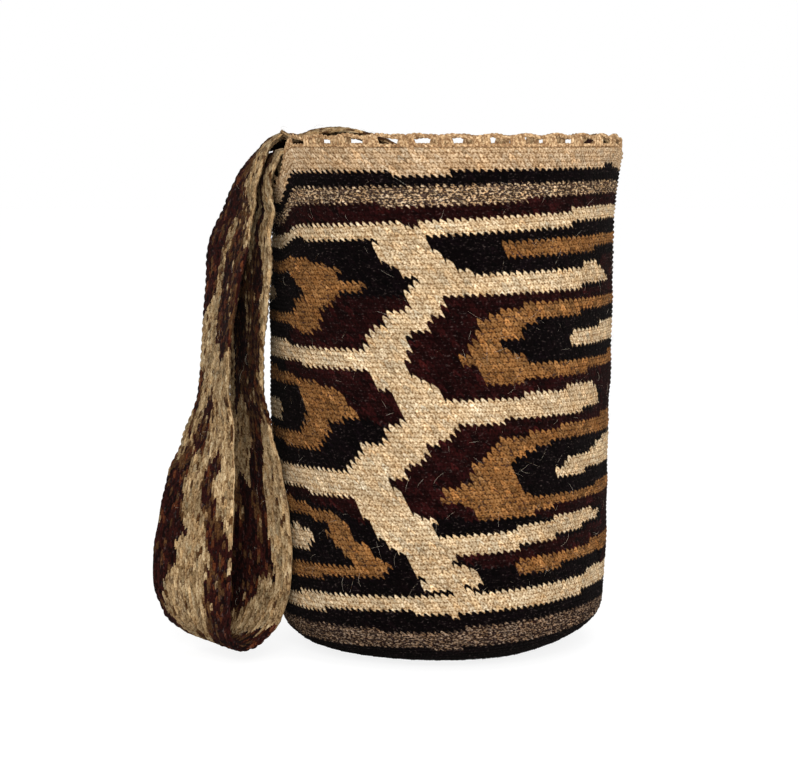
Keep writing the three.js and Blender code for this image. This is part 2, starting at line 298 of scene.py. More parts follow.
def wall_radius(height):
    rise = clamp((height - CORNER_HEIGHT) / (RIM_HEIGHT * TAPER_END - CORNER_HEIGHT))
    flare = clamp((height - RIM_HEIGHT + FLARE_HEIGHT) / FLARE_HEIGHT)
    return FOOT_RADIUS + FOOT_TAPER * rise + RIM_FLARE * flare * flare


def pull(angle, middle, flat, spread):
    """One soft bump round the bag. Its arguments are in radians."""
    off = np.abs((angle - middle + math.pi) % (2 * math.pi) - math.pi)
    return np.cos(clamp((off - flat) / (spread - flat)) * math.pi / 2) ** 2


LEFT_FLAT = (STRAP_WIDTH * RIM_GATHER / 2 + PULL_BEYOND) / BAG_RADIUS
LEFT_SPREAD = LEFT_FLAT + PULL_SLOPE / BAG_RADIUS


def give_way(points):
    """Lets the upper wall give way under the strap. Points are rows of x, y and z."""
    x, y, z = points[..., 0], points[..., 1], points[..., 2]
    angle = np.arctan2(y, x)
    radius = np.maximum(np.hypot(x, y), 1e-6)
    rise = clamp((clamp(z / RIM_HEIGHT) - PULL_START) / (1 - PULL_START)) ** 2
    left = pull(angle, math.radians(PULL_ANGLE), LEFT_FLAT, LEFT_SPREAD) * rise
    right_flat, right_spread = math.radians(RIGHT_PULL_FLAT), math.radians(RIGHT_PULL_SPREAD)
    right = pull(angle, math.radians(RIGHT_PULL_ANGLE), right_flat, right_spread) * rise
    scale = (radius - PULL_INSET * left) / radius
    return np.stack([x * scale, y * scale, z - PULL_DROP * left - RIGHT_PULL_DROP * right], -1)


def round_foot(points):
    """Lifts the edge of the foot a little off the floor. Points are rows of x, y and z."""
    x, y, z = points[..., 0], points[..., 1], points[..., 2]
    reach = clamp((np.hypot(x, y) - FOOT_FLAT_RADIUS) / (FOOT_ROUND_RADIUS - FOOT_FLAT_RADIUS))
    right = pull(np.arctan2(y, x), math.radians(RIGHT_FOOT_ANGLE), 0, math.radians(RIGHT_FOOT_SPREAD))
    fade = clamp(1 - z / FOOT_ROUND_HEIGHT) ** 2
    lift = (FOOT_LIFT + RIGHT_FOOT_LIFT * right) * reach * reach * (3 - 2 * reach) * fade
    return np.stack([x, y, z + lift], -1)


CORNER_TURNS = np.linspace(0, math.pi / 2, 200)
CORNER_LENGTHS = np.concatenate([[0], np.cumsum(np.hypot(
    CORNER_WIDTH * np.diff(np.sin(CORNER_TURNS)),
    CORNER_HEIGHT * np.diff(np.cos(CORNER_TURNS)),
))])
CORNER_LENGTH = CORNER_LENGTHS[-1]
PROFILE_END = CORNER_HEIGHT - CORNER_LENGTH
# At a height, how much the rows climb to the right of the front
ROW_CLIMBS = (
    (PROFILE_END, 0), (10, 4), (77, 6), (110, 1), (180, 0.6),
    (222, 3), (253, 6), (278, 2), (RIM_HEIGHT, 0),
)
CLIMB_PHASE = math.radians(5)
SUBROW_HEIGHT = (RIM_HEIGHT - PROFILE_END) / ROW_COUNT / CELLS_DOWN


def row_tilt(line, turn):
    """How far a row of stitches is above its own level: the rows climb to the right of the front."""
    levels, climbs = zip(*ROW_CLIMBS)
    return np.interp(line, levels, climbs) * np.sin(turn + CLIMB_PHASE)


def body_point(line, turn, outward, inner=False):
    """A point of the fabric. Line is the height, and below the corner's top the length down the profile.
    Turn is in radians to the right of the front, and outward is along the surface's own normal."""
    line, turn, outward = np.broadcast_arrays(line, turn, outward)
    line = line + row_tilt(line, turn)
    length = np.clip(CORNER_LENGTH - (CORNER_HEIGHT - line), 0, CORNER_LENGTH)
    bend = np.interp(length, CORNER_LENGTHS, CORNER_TURNS)
    on_wall = line >= CORNER_HEIGHT
    width = CORNER_WIDTH - (WALL if inner else 0)
    floor = FLOOR_THICKNESS if inner else 0
    corner_radius = BASE_RADIUS + width * np.sin(bend)
    corner_height = floor + (CORNER_HEIGHT - floor) * (1 - np.cos(bend))
    radius = np.where(on_wall, wall_radius(line) - (WALL if inner else 0), corner_radius)
    height = np.where(on_wall, line, corner_height)
    side = np.where(on_wall, 1, np.sin(bend))
    radius = radius + outward * side
    height = height - outward * np.where(on_wall, 0, np.cos(bend))
    return round_foot(give_way(round_axis(radius, turn, height)))


# The pattern is fields of colour between outlines. Each outline point is degrees to the right of the
# front, then height. Fields that run out of sight on the left or right go on to the middle of that side.
LEFT, RIGHT = -100, 90
MIRROR_LEFT, MIRROR_RIGHT = -95, 85

CREAM_STRIPE_TOP = [(LEFT, 253), (-50, 253), (-8, 254), (-6, 257), (0, 257), (50, 262), (RIGHT, 263.5)]
CREAM_STRIPE_BOTTOM = [(LEFT, 244.5), (-50, 245), (-22, 245.5), (0, 249), (24, 250), (50, 254), (RIGHT, 256)]
FOOT_STRIPE_TOP = [(LEFT, 37), (-62, 37.5), (-40, 41), (-20, 43), (0, 44), (20, 45), (40, 47.5), (60, 49.5),
                   (RIGHT, 51)]
FOOT_STRIPE_BOTTOM = [(LEFT, 28), (-60, 28.8), (-40, 31.8), (-20, 33.8), (0, 33.8), (5, 30.5), (8, 34.5),
                      (20, 35.5), (40, 37), (60, 38.8), (RIGHT, 40)]
FOOT_MARL_TOP = [(LEFT, 21.5), (-40, 22.5), (5, 22.6), (9, 25.8), (20, 26.4), (40, 28.8), (60, 30),
                 (RIGHT, 31)]
FOOT_MARL_BOTTOM = [(LEFT, 11), (-40, 12), (5, 12.2), (9, 13), (20, 13.6), (40, 15.5), (60, 18.5),
                    (RIGHT, 20)]
RIM_BOTTOM = [(LEFT, 281), (-50, 282), (0, 282.5), (30, 286), (50, 285), (65, 287), (RIGHT, 284)]
TOP_BLACK_BOTTOM = [(LEFT, 273), (-50, 273.8), (0, 275), (50, 278), (RIGHT, 279)]
TOP_MARL_BOTTOM = [(LEFT, 263), (-50, 263.8), (0, 265.5), (50, 270), (RIGHT, 271)]

DARK_FIELDS = [
    [(LEFT, 250), (-22, 250), (-22, 244), (-21.4, 239.5), (-19.3, 234), (-16.5, 232.5), (-15, 230),
     (-13, 226), (-7, 224), (-9, 219), (-11, 216), (-11, 209), (-12, 205.5), (-18, 205), (-18.6, 199),
     (-21.4, 195), (-25, 190), (-25.6, 184), (-50, 183), (-70, 185), (LEFT, 186)],
    [(LEFT, 175), (-70, 173.8), (-60, 175), (-50, 172.5), (-24, 170.5), (-23.5, 169), (-22, 161),
     (-16.5, 160), (-16, 155), (-12.4, 149), (-11.7, 144), (-18, 139), (-19.3, 131), (-26, 130),
     (-29, 122.5), (-31, 114.5), (-40, 112.5), (-60, 112.5), (LEFT, 113)],
    [(LEFT, 101), (-70, 101), (-60, 100), (-50, 99), (-30, 99), (-30, 96), (-29, 89), (-24, 84),
     (-22, 77.5), (-18, 71), (-15, 69), (-11, 66), (-11, 59), (-7, 55), (-5.4, 47.5), (2, 44),
     (2, 36), (LEFT, 32)],
    [(-6, 47), (4.6, 46.6), (4.6, 43.6), (-6, 43)],
    [(7.2, 50.5), (9, 50.5), (9, 43), (7.2, 43)],
    [(-5, 247.5), (-4.7, 239.5), (-1, 238), (2, 234), (3.6, 229), (5, 227.5), (30, 227.5), (50, 229),
     (60, 231), (71, 221), (60, 219), (50, 217.5), (30, 216), (0, 215), (0, 209), (-1, 204),
     (-4.7, 201), (-5.4, 195), (-10.3, 192.5), (-11, 185), (-11, 174), (-9.6, 171), (-7.5, 166),
     (-6, 165.5), (-0.6, 164), (0, 155), (10, 155), (30, 157.5), (40, 159), (50, 161), (60, 161),
     (65, 156), (65, 149), (61, 147.5), (50, 145.5), (30, 144), (15, 142.5), (6, 143), (3, 135),
     (-0.5, 132.5), (-4.7, 129), (-6, 120), (-11, 119), (-11.7, 111), (-18, 109.5), (-15, 105),
     (-11.7, 97.5), (-11, 90), (-3.3, 89), (-2, 81), (0, 77.5), (10, 79), (20, 80), (30, 82.5),
     (40, 85), (50, 86), (60, 87.5), (67, 84), (67, 80), (60, 79), (50, 76), (40, 74), (30, 71),
     (20, 69), (10, 66), (2, 65), (4, 61), (10, 60), (11, 55), (14, 52.5), (11, 46), (RIGHT, 46),
     (RIGHT, 262), (-4, 252)],
]

MAROON_FIELDS = [
    [(-58, 214), (-10, 214), (-12, 205), (-20, 200), (-26, 183), (-58, 183)],
    [(-62, 176), (-10, 172), (-10, 140), (-30, 144), (-44, 160), (-62, 164)],
    [(LEFT, 102), (-20, 102), (-20, 80), (-40, 92), (LEFT, 98)],
    [(-6, 216), (RIGHT, 218), (RIGHT, 156), (-6, 152), (-12, 180)],
    [(2, 143), (RIGHT, 148), (RIGHT, 86), (-10, 88), (-20, 110)],
    [(2, 66), (RIGHT, 80), (RIGHT, 68), (14, 60)],
    [(64, 235), (RIGHT, 235), (RIGHT, 40), (74, 40)],
]

CARAMEL_FIELDS = [
    [(LEFT, 236), (-60, 235), (-48, 232.5), (-44, 231), (-35, 229), (-35, 222.5), (-26, 220), (-26, 216),
     (-35, 214), (-37, 209), (-42, 205), (-43, 195), (-48, 190), (-60, 195), (LEFT, 196)],
    [(LEFT, 167.5), (-70, 167.5), (-60, 165), (-50, 164), (-40, 160), (-32.5, 157.5), (-32, 151),
     (-28.4, 149), (-28.4, 145), (-40, 140), (-40, 132.5), (-44.4, 127.5), (-47, 122.5), (-60, 125),
     (LEFT, 126)],
    [(LEFT, 95), (-60, 92.5), (-50, 89.5), (-39, 89), (-36, 84), (-32, 80), (-31, 74), (-26, 71),
     (-24, 66), (-20, 62.5), (-16.5, 59), (-20, 54), (-30, 51), (-40, 50.5), (-50, 49), (LEFT, 48)],
    [(19.5, 245.5), (19.5, 235.5), (40, 237), (60, 239), (RIGHT, 240), (RIGHT, 248), (60, 247), (40, 245)],
    [(RIGHT, 212), (60, 211), (30, 209), (20, 206), (15.4, 202.5), (10.6, 199), (11.3, 190), (8.5, 189),
     (7.8, 181), (5, 180), (5, 175), (11, 174), (14, 164), (22, 164), (30, 166), (70, 170), (RIGHT, 170)],
    [(RIGHT, 141), (70, 141), (40, 137.5), (20, 132.5), (15.4, 127.5), (14, 120), (10, 117.5),
     (8.5, 107.5), (0, 105), (0, 97.5), (10, 95), (11, 87.5), (30, 89), (40, 92.5), (70, 95), (RIGHT, 95)],
    [(26, 61), (26, 55), (40, 56), (50, 59), (RIGHT, 60), (RIGHT, 68), (70, 67.5), (50, 65.5), (30, 64)],
]

INNER_DARK_FIELDS = [
    [(LEFT, 229), (-60, 228), (-55, 221), (-50.6, 214), (-55, 207.5), (-55.5, 201), (LEFT, 201)],
    [(LEFT, 160), (-54, 159), (-52, 154), (-50.6, 147.5), (-52, 137.5), (-53.4, 131), (LEFT, 131)],
    [(LEFT, 86), (-60, 86), (-50, 84), (-41.6, 82.5), (-41, 74), (-36.7, 69), (-32, 61), (-31, 57.5),
     (-40, 56), (-50, 55), (LEFT, 54)],
    [(RIGHT, 204), (60, 204), (34, 201), (28, 197.5), (26, 191), (19.6, 189), (19.6, 183.5), (26, 181),
     (28.6, 177.5), (30.7, 175), (RIGHT, 177.5)],
    [(RIGHT, 132), (40, 131), (30, 125), (23.8, 121), (23, 114), (26, 109), (27, 100), (40, 99),
     (70, 101), (RIGHT, 101)],
]

CREAM_FIELDS = [
    [(LEFT, 218), (-73, 218), (-71, 214), (-73, 210), (LEFT, 210)],
    [(LEFT, 148.5), (-68, 148.5), (-66.5, 143), (-68, 138), (LEFT, 138)],
    [(-67, 74), (-60, 77), (-51, 77), (-49, 72.5), (-49, 67.5), (-53, 64), (-60, 62.5), (-66, 65)],
    [(45.3, 188), (47, 192), (50, 192.5), (70, 195), (RIGHT, 196), (RIGHT, 185), (70, 184), (50, 182.5),
     (47, 184)],
    [(40.5, 112), (44.6, 117.5), (50, 120), (60, 121), (70, 127.5), (RIGHT, 128), (RIGHT, 113),
     (70, 112.5), (50, 109), (42, 109.5)],
]
FIELDS_ON_DARK = (
    ("maroon", MAROON_FIELDS), ("caramel", CARAMEL_FIELDS),
    ("black", INNER_DARK_FIELDS), ("cream", CREAM_FIELDS),
)
# Bands above a line and bands below one, each over those before it
RIM_BANDS = (
    ("cream", CREAM_STRIPE_BOTTOM), ("maroon", CREAM_STRIPE_TOP), ("marl", TOP_MARL_BOTTOM),
    ("black", TOP_BLACK_BOTTOM), ("rim", RIM_BOTTOM),
)
FOOT_BANDS = (
    ("cream", FOOT_STRIPE_TOP), ("black", FOOT_STRIPE_BOTTOM),
    ("foot_marl", FOOT_MARL_TOP), ("black", FOOT_MARL_BOTTOM),
)


def inside_outline(outline, turn, height):
    """Which points lie inside a closed outline."""
    inside = np.zeros(turn.shape, bool)
    for (x0, y0), (x1, y1) in zip(outline, outline[1:] + outline[:1]):
        if y0 == y1:
            continue
        crosses = (y0 > height) != (y1 > height)
        inside ^= crosses & (turn < x0 + (height - y0) * (x1 - x0) / (y1 - y0))
    return inside


def above(line, turn, height):
    """Which points lie above a line given by its points from left to right."""
    return height > np.interp(turn, [point[0] for point in line], [point[1] for point in line])


def pattern(turn, height):
    """The yarn at each point: turn in degrees to the right of the front, and height."""
    turn = (turn + 180) % 360 - 180
    turn = np.where(turn > MIRROR_RIGHT, 2 * MIRROR_RIGHT - turn, turn)
    turn = np.where(turn < MIRROR_LEFT, 2 * MIRROR_LEFT - turn, turn)
    names = np.full(turn.shape, "cream", dtype="<U12")
    for outline in DARK_FIELDS:
        names[inside_outline(outline, turn, height)] = "black"
    dark = names == "black"
    for name, outlines in FIELDS_ON_DARK:
        for outline in outlines:
            names[dark & inside_outline(outline, turn, height)] = name
    for name, line in RIM_BANDS:
        names[above(line, turn, height)] = name
    for name, line in FOOT_BANDS:
        names[~above(line, turn, height)] = name
    return names


def yarn_colours(names, random):
    """Two colours for each stitch, one for each ply, a little different from stitch to stitch."""
    first = np.zeros((len(names), 3))
    second = np.zeros((len(names), 3))
    spread = np.zeros((len(names), 1))
    for name in np.unique(names):
        chosen = names == name
        one, two, uneven = SPUN[name]
        first[chosen] = linear(YARNS[one])
        second[chosen] = linear(YARNS[two])
        spread[chosen] = uneven
    shade = np.exp(random.normal(0, 1, (len(names), 1)) * spread)
    warmth = random.normal(0, 0.03, (len(names), 1)) * np.array([[1, 0, -1.4]])
    return first * shade * (1 + warmth), second * shade * (1 + warmth)


def stitch_table(random):
    """The colours of the two plies and the height of every stitch, by stitch round and row down. An
    alpha of 0 in the first marks marled yarn, which shows much of both."""
    stitch, row = grid(STITCHES_ROUND, ROW_COUNT)
    subrow = (row + 0.5) * CELLS_DOWN
    turn = column_turn((stitch + 0.5) * CELLS_ACROSS, subrow)
    line = RIM_HEIGHT - subrow * SUBROW_HEIGHT
    undisturbed = line + row_tilt(line, turn)
    height = np.where(undisturbed > FOOT_ROUND_HEIGHT, undisturbed, body_point(line, turn, 0.0)[..., 2])
    names = pattern(np.degrees(turn), height)
    first, second = yarn_colours(names.ravel(), random)
    plain = 1.0 - np.isin(names, ["marl", "foot_marl"])
    lift = random.normal(0, LIFT_SPREAD, names.shape)
    first = np.concatenate([first, plain.reshape(-1, 1)], 1)
    return first.reshape(names.shape + (4,)), opaque(second).reshape(names.shape + (4,)), lift


def column_turn(column, subrow):
    """Radians to the right of the front, of a grid column at a subrow."""
    lean = STITCH_LEAN * subrow / CELLS_DOWN / STITCHES_ROUND
    return 2 * math.pi * (column / COLUMNS + lean)


def body_relief(column, subrow, lift):
    """How far the yarn stands out at each grid point."""
    stitch, row = stitch_of(subrow, column % COLUMNS)
    across = np.array(RELIEF_ACROSS)[column % CELLS_ACROSS]
    along = np.array(RELIEF_ALONG)[subrow % CELLS_DOWN]
    return across * along * STITCH_RELIEF * (1 + lift[stitch, row]) - RELIEF_SUNK


def stitch_of(subrow, column):
    """Which stitch a grid cell belongs to: its stitch round and its row down."""
    return column // CELLS_ACROSS, np.clip(subrow // CELLS_DOWN, 0, ROW_COUNT - 1)


def body_lumps(line, turn):
    """Slow unevenness of hand-made fabric, nothing at the rim and the base."""
    fade = clamp((RIM_HEIGHT - line) / RIM_FADE) * clamp((line - PROFILE_END) / FOOT_FADE)
    broad = BROAD_LUMPS * smooth_noise(turn * 6, line / 14, 3)
    small = SMALL_LUMPS * smooth_noise(turn * 25, line / 5, 4)
    return fade * (broad + small)


def grid_faces(rows, columns, start=0, wrap=True, flip=False):
    """Quads of a grid whose points are stored row after row."""
    last = columns if wrap else columns - 1
    row, column = grid(rows - 1, last)
    after = (column + 1) % columns
    quads = np.stack([
        row * columns + column,
        (row + 1) * columns + column,
        (row + 1) * columns + after,
        row * columns + after,
    ], -1).reshape(-1, 4) + start
    return quads[:, ::-1] if flip else quads


def opaque(colours):
    return np.concatenate([colours, np.ones((len(colours), 1))], 1)


def spread(values, corners):
    """The value of each face, repeated for its corners."""
    return np.repeat(values.reshape(-1, values.shape[-1]), corners, axis=0)


def body_band(name, top, bottom, table, material):
    """One ring of the body between two subrows: outer fabric, inner fabric and the edges between them."""
    first, second, lift = table
    subrow, column = grid(bottom - top + 1, COLUMNS)
    subrow = subrow + top
    line = RIM_HEIGHT - subrow * SUBROW_HEIGHT
    turn = column_turn(column, subrow)
    outward = body_relief(column, subrow, lift) + body_lumps(line, turn)
    outer = body_point(line, turn, outward).reshape(-1, 3)
    outer_faces = grid_faces(len(subrow), COLUMNS)

    row, stitch = grid((bottom - top) // CELLS_DOWN + 1, STITCHES_ROUND)
    row = row + top // CELLS_DOWN
    line = RIM_HEIGHT - row * CELLS_DOWN * SUBROW_HEIGHT
    turn = column_turn(stitch * CELLS_ACROSS, row * CELLS_DOWN)
    outward = ((stitch + row) % 2) * -INNER_RELIEF + body_lumps(line, turn)
    inner = body_point(line, turn, outward, inner=True).reshape(-1, 3)
    inner_faces = grid_faces(len(row), STITCHES_ROUND, start=len(outer), flip=True)

    points = [outer, inner]
    total = len(outer) + len(inner)
    ring = np.arange(STITCHES_ROUND)
    strips = []
    for last in (False, True):
        points.append(outer[-COLUMNS:] if last else outer[:COLUMNS])
        points.append(inner[-STITCHES_ROUND:] if last else inner[:STITCHES_ROUND])
        near = total + ring * CELLS_ACROSS
        far = total + (ring + 1) * CELLS_ACROSS % COLUMNS
        here = total + COLUMNS + ring
        beyond = total + COLUMNS + (ring + 1) % STITCHES_ROUND
        strip = np.concatenate([np.stack(triangle, 1) for triangle in (
            (near, near + 1, here), (near + 1, near + 2, here), (near + 2, beyond, here),
            (near + 2, near + 3, beyond), (near + 3, far, beyond),
        )])
        strips.append(strip[:, ::-1] if last else strip)
        total += COLUMNS + STITCHES_ROUND
    strips = np.concatenate(strips)

    subrow, column, row, stitch = subrow[:-1], column[:-1], row[:-1], stitch[:-1]
    outer_stitch, outer_row = stitch_of(subrow, column)
    edge_stitch = np.tile(ring, len(strips) // STITCHES_ROUND)
    edge_row = np.repeat([row[0, 0], row[-1, 0]], len(strips) // 2)
    corners = {}
    for key, colours, below in (("yarn", first, 0), ("ply", second, 0), ("below", first, 1)):
        corners[key] = np.concatenate([
            spread(colours[outer_stitch, np.minimum(outer_row + below, ROW_COUNT - 1)], 4),
            spread(colours[stitch, np.minimum(row + below, ROW_COUNT - 1)], 4),
            spread(colours[edge_stitch, edge_row], 3),
        ])
    corners["weave"] = np.concatenate([
        cell_places(subrow, column, CELLS_DOWN, CELLS_ACROSS),
        cell_places(row, stitch, 1, 1),
        np.full((len(strips) * 3, 3), HIDDEN_PLACE),
    ])
    uvs = np.concatenate([
        strip_uvs(subrow - top, column, COLUMNS, bottom - top, 0.0),
        strip_uvs(row - row[0, 0], stitch, STITCHES_ROUND, len(row), 0.49),
        small_uvs(len(strips)),
    ])
    faces = [np.concatenate([outer_faces, inner_faces]), strips]
    return add_mesh(name, np.concatenate(points), faces, corners, uvs, material)


def cell_places(row, column, cells_down, cells_across):
    """For each corner: its place across and along the stitch, from 0 to 1, and the stitch's number."""
    left = column % cells_across
    top = row % cells_down
    across = np.stack([left, left, left + 1, left + 1], -1) / cells_across
    along = np.stack([top, top + 1, top + 1, top], -1) / cells_down
    number = ((column // cells_across) * 7.13 + (row // cells_down) * 3.71) % YARN_NUMBERS
    number = np.broadcast_to(number[..., None], across.shape)
    return np.stack([across, along, number], -1).reshape(-1, 3)


def strip_uvs(row, column, columns, rows, base):
    """The ring of fabric laid out as two strips, one above the other."""
    strip = column * 2 // columns
    left = column - strip * (columns // 2)
    u = np.stack([left, left, left + 1, left + 1], -1) / (columns // 2) * 0.98 + 0.01
    v = np.stack([row, row + 1, row + 1, row], -1) / rows * 0.22 + 0.01 + base + strip[..., None] * 0.24
    return np.stack([u, v], -1).reshape(-1, 2)


def small_uvs(count):
    """The hidden edges share a narrow strip at the top of the layout."""
    start = np.arange(count) / count * 0.98 + 0.01
    u = np.stack([start, start, start + 0.9 / count], -1)
    v = np.broadcast_to(np.array([0.982, 0.995, 0.982]), u.shape)
    return np.stack([u, v], -1).reshape(-1, 2)


def tube(path, radius, sides=6, closed=False):
    """A tube along a path of points in millimetres. Returns its points, quads and end triangles."""
    path = np.asarray(path, float)
    if closed:
        along = np.roll(path, -1, axis=0) - np.roll(path, 1, axis=0)
    else:
        along = np.gradient(path, axis=0)
    along = unit(along)
    guide = np.array([0.0, 0.0, 1.0]) if abs(along[:, 2]).mean() < 0.75 else np.array([0.6, 0.8, 0.0])
    across = unit(np.cross(along, guide))
    up = np.cross(across, along)
    turns = np.arange(sides) / sides * 2 * math.pi
    ring = np.cos(turns)[None, :, None] * across[:, None] + np.sin(turns)[None, :, None] * up[:, None]
    thick = np.broadcast_to(np.asarray(radius, float), (len(path),))[:, None, None]
    points = (path[:, None] + ring * thick).reshape(-1, 3)
    quads = grid_faces(len(path), sides)
    side = np.arange(sides)
    after = (side + 1) % sides
    last_ring = (len(path) - 1) * sides
    if closed:
        seam = np.stack([last_ring + side, side, after, last_ring + after], 1)
        return points, np.concatenate([quads, seam]), np.zeros((0, 3), int)
    points = np.concatenate([points, path[:1], path[-1:]])
    first, last = len(points) - 2, len(points) - 1
    ends = np.concatenate([
        np.stack([side, after, np.full(sides, first)], 1),
        np.stack([last_ring + after, last_ring + side, np.full(sides, last)], 1),
    ])
    return points, quads, ends


def patch_uvs(quads, triangles):
    """Every face has a small square of its own."""
    count = quads + triangles
    side = int(math.ceil(math.sqrt(count)))
    left = np.arange(count) % side / side
    low = np.arange(count) // side / side
    near, far = 0.15 / side, 0.85 / side
    u = np.stack([left + near, left + far, left + far, left + near], -1)
    v = np.stack([low + near, low + near, low + far, low + far], -1)
    corners = np.stack([u, v], -1)
    return np.concatenate([corners[:quads].reshape(-1, 2), corners[quads:, :3].reshape(-1, 2)])


def yarn_mesh(name, tubes, colours, material):
    """One piece from many tubes, with two ply colours for each tube."""
    starts = np.cumsum([0] + [len(points) for points, _, _ in tubes])
    quads = np.concatenate([sides + start for (_, sides, _), start in zip(tubes, starts)])
    ends = np.concatenate([caps + start for (_, _, caps), start in zip(tubes, starts)])
    side_counts = np.array([len(sides) for _, sides, _ in tubes])
    cap_counts = np.array([len(caps) for _, _, caps in tubes])
    corners = {}
    for key, plies in zip(("yarn", "ply"), zip(*colours)):
        plies = opaque(np.array(plies))
        corners[key] = np.concatenate([spread(plies, side_counts * 4), spread(plies, cap_counts * 3)])
    corners["below"] = corners["yarn"]
    step = np.concatenate([np.arange(count) for count in side_counts])
    number = np.repeat(np.arange(len(tubes)), side_counts)
    along = np.full(len(step), HIDDEN_PLACE)
    place = np.stack([step * 0.37 % 1, along, (number * 1.7 + step * 0.61) % YARN_NUMBERS], 1)
    corners["weave"] = np.concatenate([spread(place, 4), np.full((len(ends) * 3, 3), HIDDEN_PLACE)])
    points = np.concatenate([points for points, _, _ in tubes])
    uvs = patch_uvs(len(quads), len(ends))
    return add_mesh(name, points, [quads, ends], corners, uvs, material)


def yarn_pair(one, two, random):
    shade = math.exp(random.normal(0, 0.1))
    return linear(YARNS[one]) * shade, linear(YARNS[two]) * shade


def rim_ring(turn, height, inward=0.0):
    """Points over the rim, height in millimetres above it."""
    return give_way(round_axis(RIM_RADIUS - WALL / 2 - inward, turn, RIM_HEIGHT + height))


def edging_piece(material, random):
    """Crocheted edging: a cord along the rim, a scalloped cord on top and posts between the eyelets."""
    tubes, colours = [], []
    turn = np.arange(RIM_STEPS) / RIM_STEPS * 2 * math.pi
    scallop = 0.75 * np.cos(turn * EYELET_COUNT - math.pi / 2) + 0.3 * smooth_noise(turn * 9, turn * 4, 31)
    for middle, wave, twist_radius, thick, twists in (FOOT_CORD, CREST_CORD):
        for start in (0, math.pi):
            twist = turn * twists + start
            height = middle + wave * scallop + twist_radius * np.sin(twist)
            path = rim_ring(turn, height, twist_radius * np.cos(twist))
            radius = thick * (1 + 0.1 * smooth_noise(turn * 60, turn * 31, 32))
            tubes.append(tube(path, radius, closed=True))
            colours.append(yarn_pair("edging", "edging_dark", random))
    spacing = 2 * math.pi / EYELET_COUNT
    post_width = spacing - EYELET_WIDTH / RIM_RADIUS
    foot, crest = FOOT_CORD[0], CREST_CORD[0]
    steps = np.linspace(0, 1, 8)
    for index in range(EYELET_COUNT):
        middle = (index + 1) * spacing + math.pi / 2
        for post in range(-FAN_POSTS, FAN_POSTS + 1):
            fan = post * FAN_SPACING * (1.1 - 0.2 * steps) + random.uniform(-0.02, 0.02)
            at = middle + post_width * (fan + 0.1 * (0.5 - steps))
            bulge = 0.5 * np.sin(steps * math.pi) * (1 if post % 2 else -0.4)
            top = crest + 0.5 + random.uniform(-0.4, 0.3)
            path = rim_ring(at, foot + (top - foot) * steps, -bulge)
            tubes.append(tube(path, random.uniform(0.85, 1.0) + 0.1 * np.sin(steps * math.pi)))
            colours.append(yarn_pair("edging", "tan" if post == 0 else "edging_dark", random))
    return yarn_mesh("crocheted_edging", tubes, colours, material)


def base_piece(material):
    """The round foot: rows of stitches running in to the middle, with the plain inside above them. Its
    edge is tucked in between the two sides of the fabric round it."""
    count, rings = STITCHES_ROUND * 2, BASE_RINGS
    ring, column = grid(rings, count)
    radius = BASE_RADIUS * (1 - ring / rings) + BASE_TUCK * (ring == 0)
    turn = 2 * math.pi * (column + 0.4 * ring) / count
    relief = np.array(BASE_RELIEF_ROUND)[column % 2] * np.array(BASE_RELIEF_IN)[ring % 2]
    relief = relief * np.minimum(1, radius / BASE_RELIEF_FADE)
    under = np.where(ring == 0, 0.9, 0.35 - relief * 0.8)
    over = np.where(ring == 0, FLOOR_THICKNESS - 0.9, FLOOR_THICKNESS - 0.2 + relief * 0.3)
    here = np.arange(count)
    beyond = (here + 1) % count
    faces, fans, points, total = [], [], [], 0
    for height, flip in ((under, False), (over, True)):
        points.append(round_foot(round_axis(radius, turn, height)).reshape(-1, 3))
        points.append(np.array([[0, 0, float(height[-1].mean())]]))
        faces.append(grid_faces(rings, count, start=total, flip=flip))
        last = total + (rings - 1) * count
        fan = np.stack([last + here, np.full(count, last + count), last + beyond], 1)
        fans.append(fan[:, ::-1] if flip else fan)
        total += rings * count + 1
    side = np.stack([here, beyond, beyond + total // 2, here + total // 2], 1)
    quads, fans = np.concatenate(faces + [side]), np.concatenate(fans)
    uneven = np.exp(np.random.default_rng(5).normal(0, 0.12, (len(quads) + len(fans), 1)))
    colour = opaque(uneven * linear(YARNS["black"]))
    colour = np.concatenate([spread(colour[:len(quads)], 4), spread(colour[len(quads):], 3)])
    places = cell_places(ring[:-1], column[:-1], 2, 2)
    rest = np.full((len(side) * 4 + len(fans) * 3, 3), HIDDEN_PLACE)
    weave = np.concatenate([places, places, rest])
    corners = {"yarn": colour, "ply": colour, "below": colour, "weave": weave}
    uvs = patch_uvs(len(quads), len(fans))
    return add_mesh("bag_base", np.concatenate(points), [quads, fans], corners, uvs, material)


def seam_piece(name, from_end, material, random):
    """Stitches that hold a strap end inside the bag, in a U on the face towards the bag's axis."""
    place, distance = strap_places()
    side = np.arange(SEAM_REACH, SEAM_BAR + 1, -SEAM_STEP)
    line = [(-SEAM_HALF_WIDTH, back) for back in side]
    line += [(across, SEAM_BAR) for across in np.linspace(-SEAM_HALF_WIDTH, SEAM_HALF_WIDTH, 11)]
    line += [(SEAM_HALF_WIDTH, back) for back in side[::-1]]
    steps = np.linspace(-0.5, 0.5, 7)
    lift = SEAM_LIFT + 0.75 * np.cos(steps * math.pi)
    tubes, colours = [], []
    for number, (middle, back) in enumerate(line):
        along = back + steps * SEAM_STITCH
        across = middle + steps * SEAM_SLANT * (1 if number % 2 else -1)
        at = distance[-1] - along if from_end else along
        path = strap_surface(np.interp(at, distance, place), across, lift)
        tubes.append(tube(path, SEAM_YARN))
        colours.append(yarn_pair("beige", "brown", random))
    return yarn_mesh(name, tubes, colours, material)


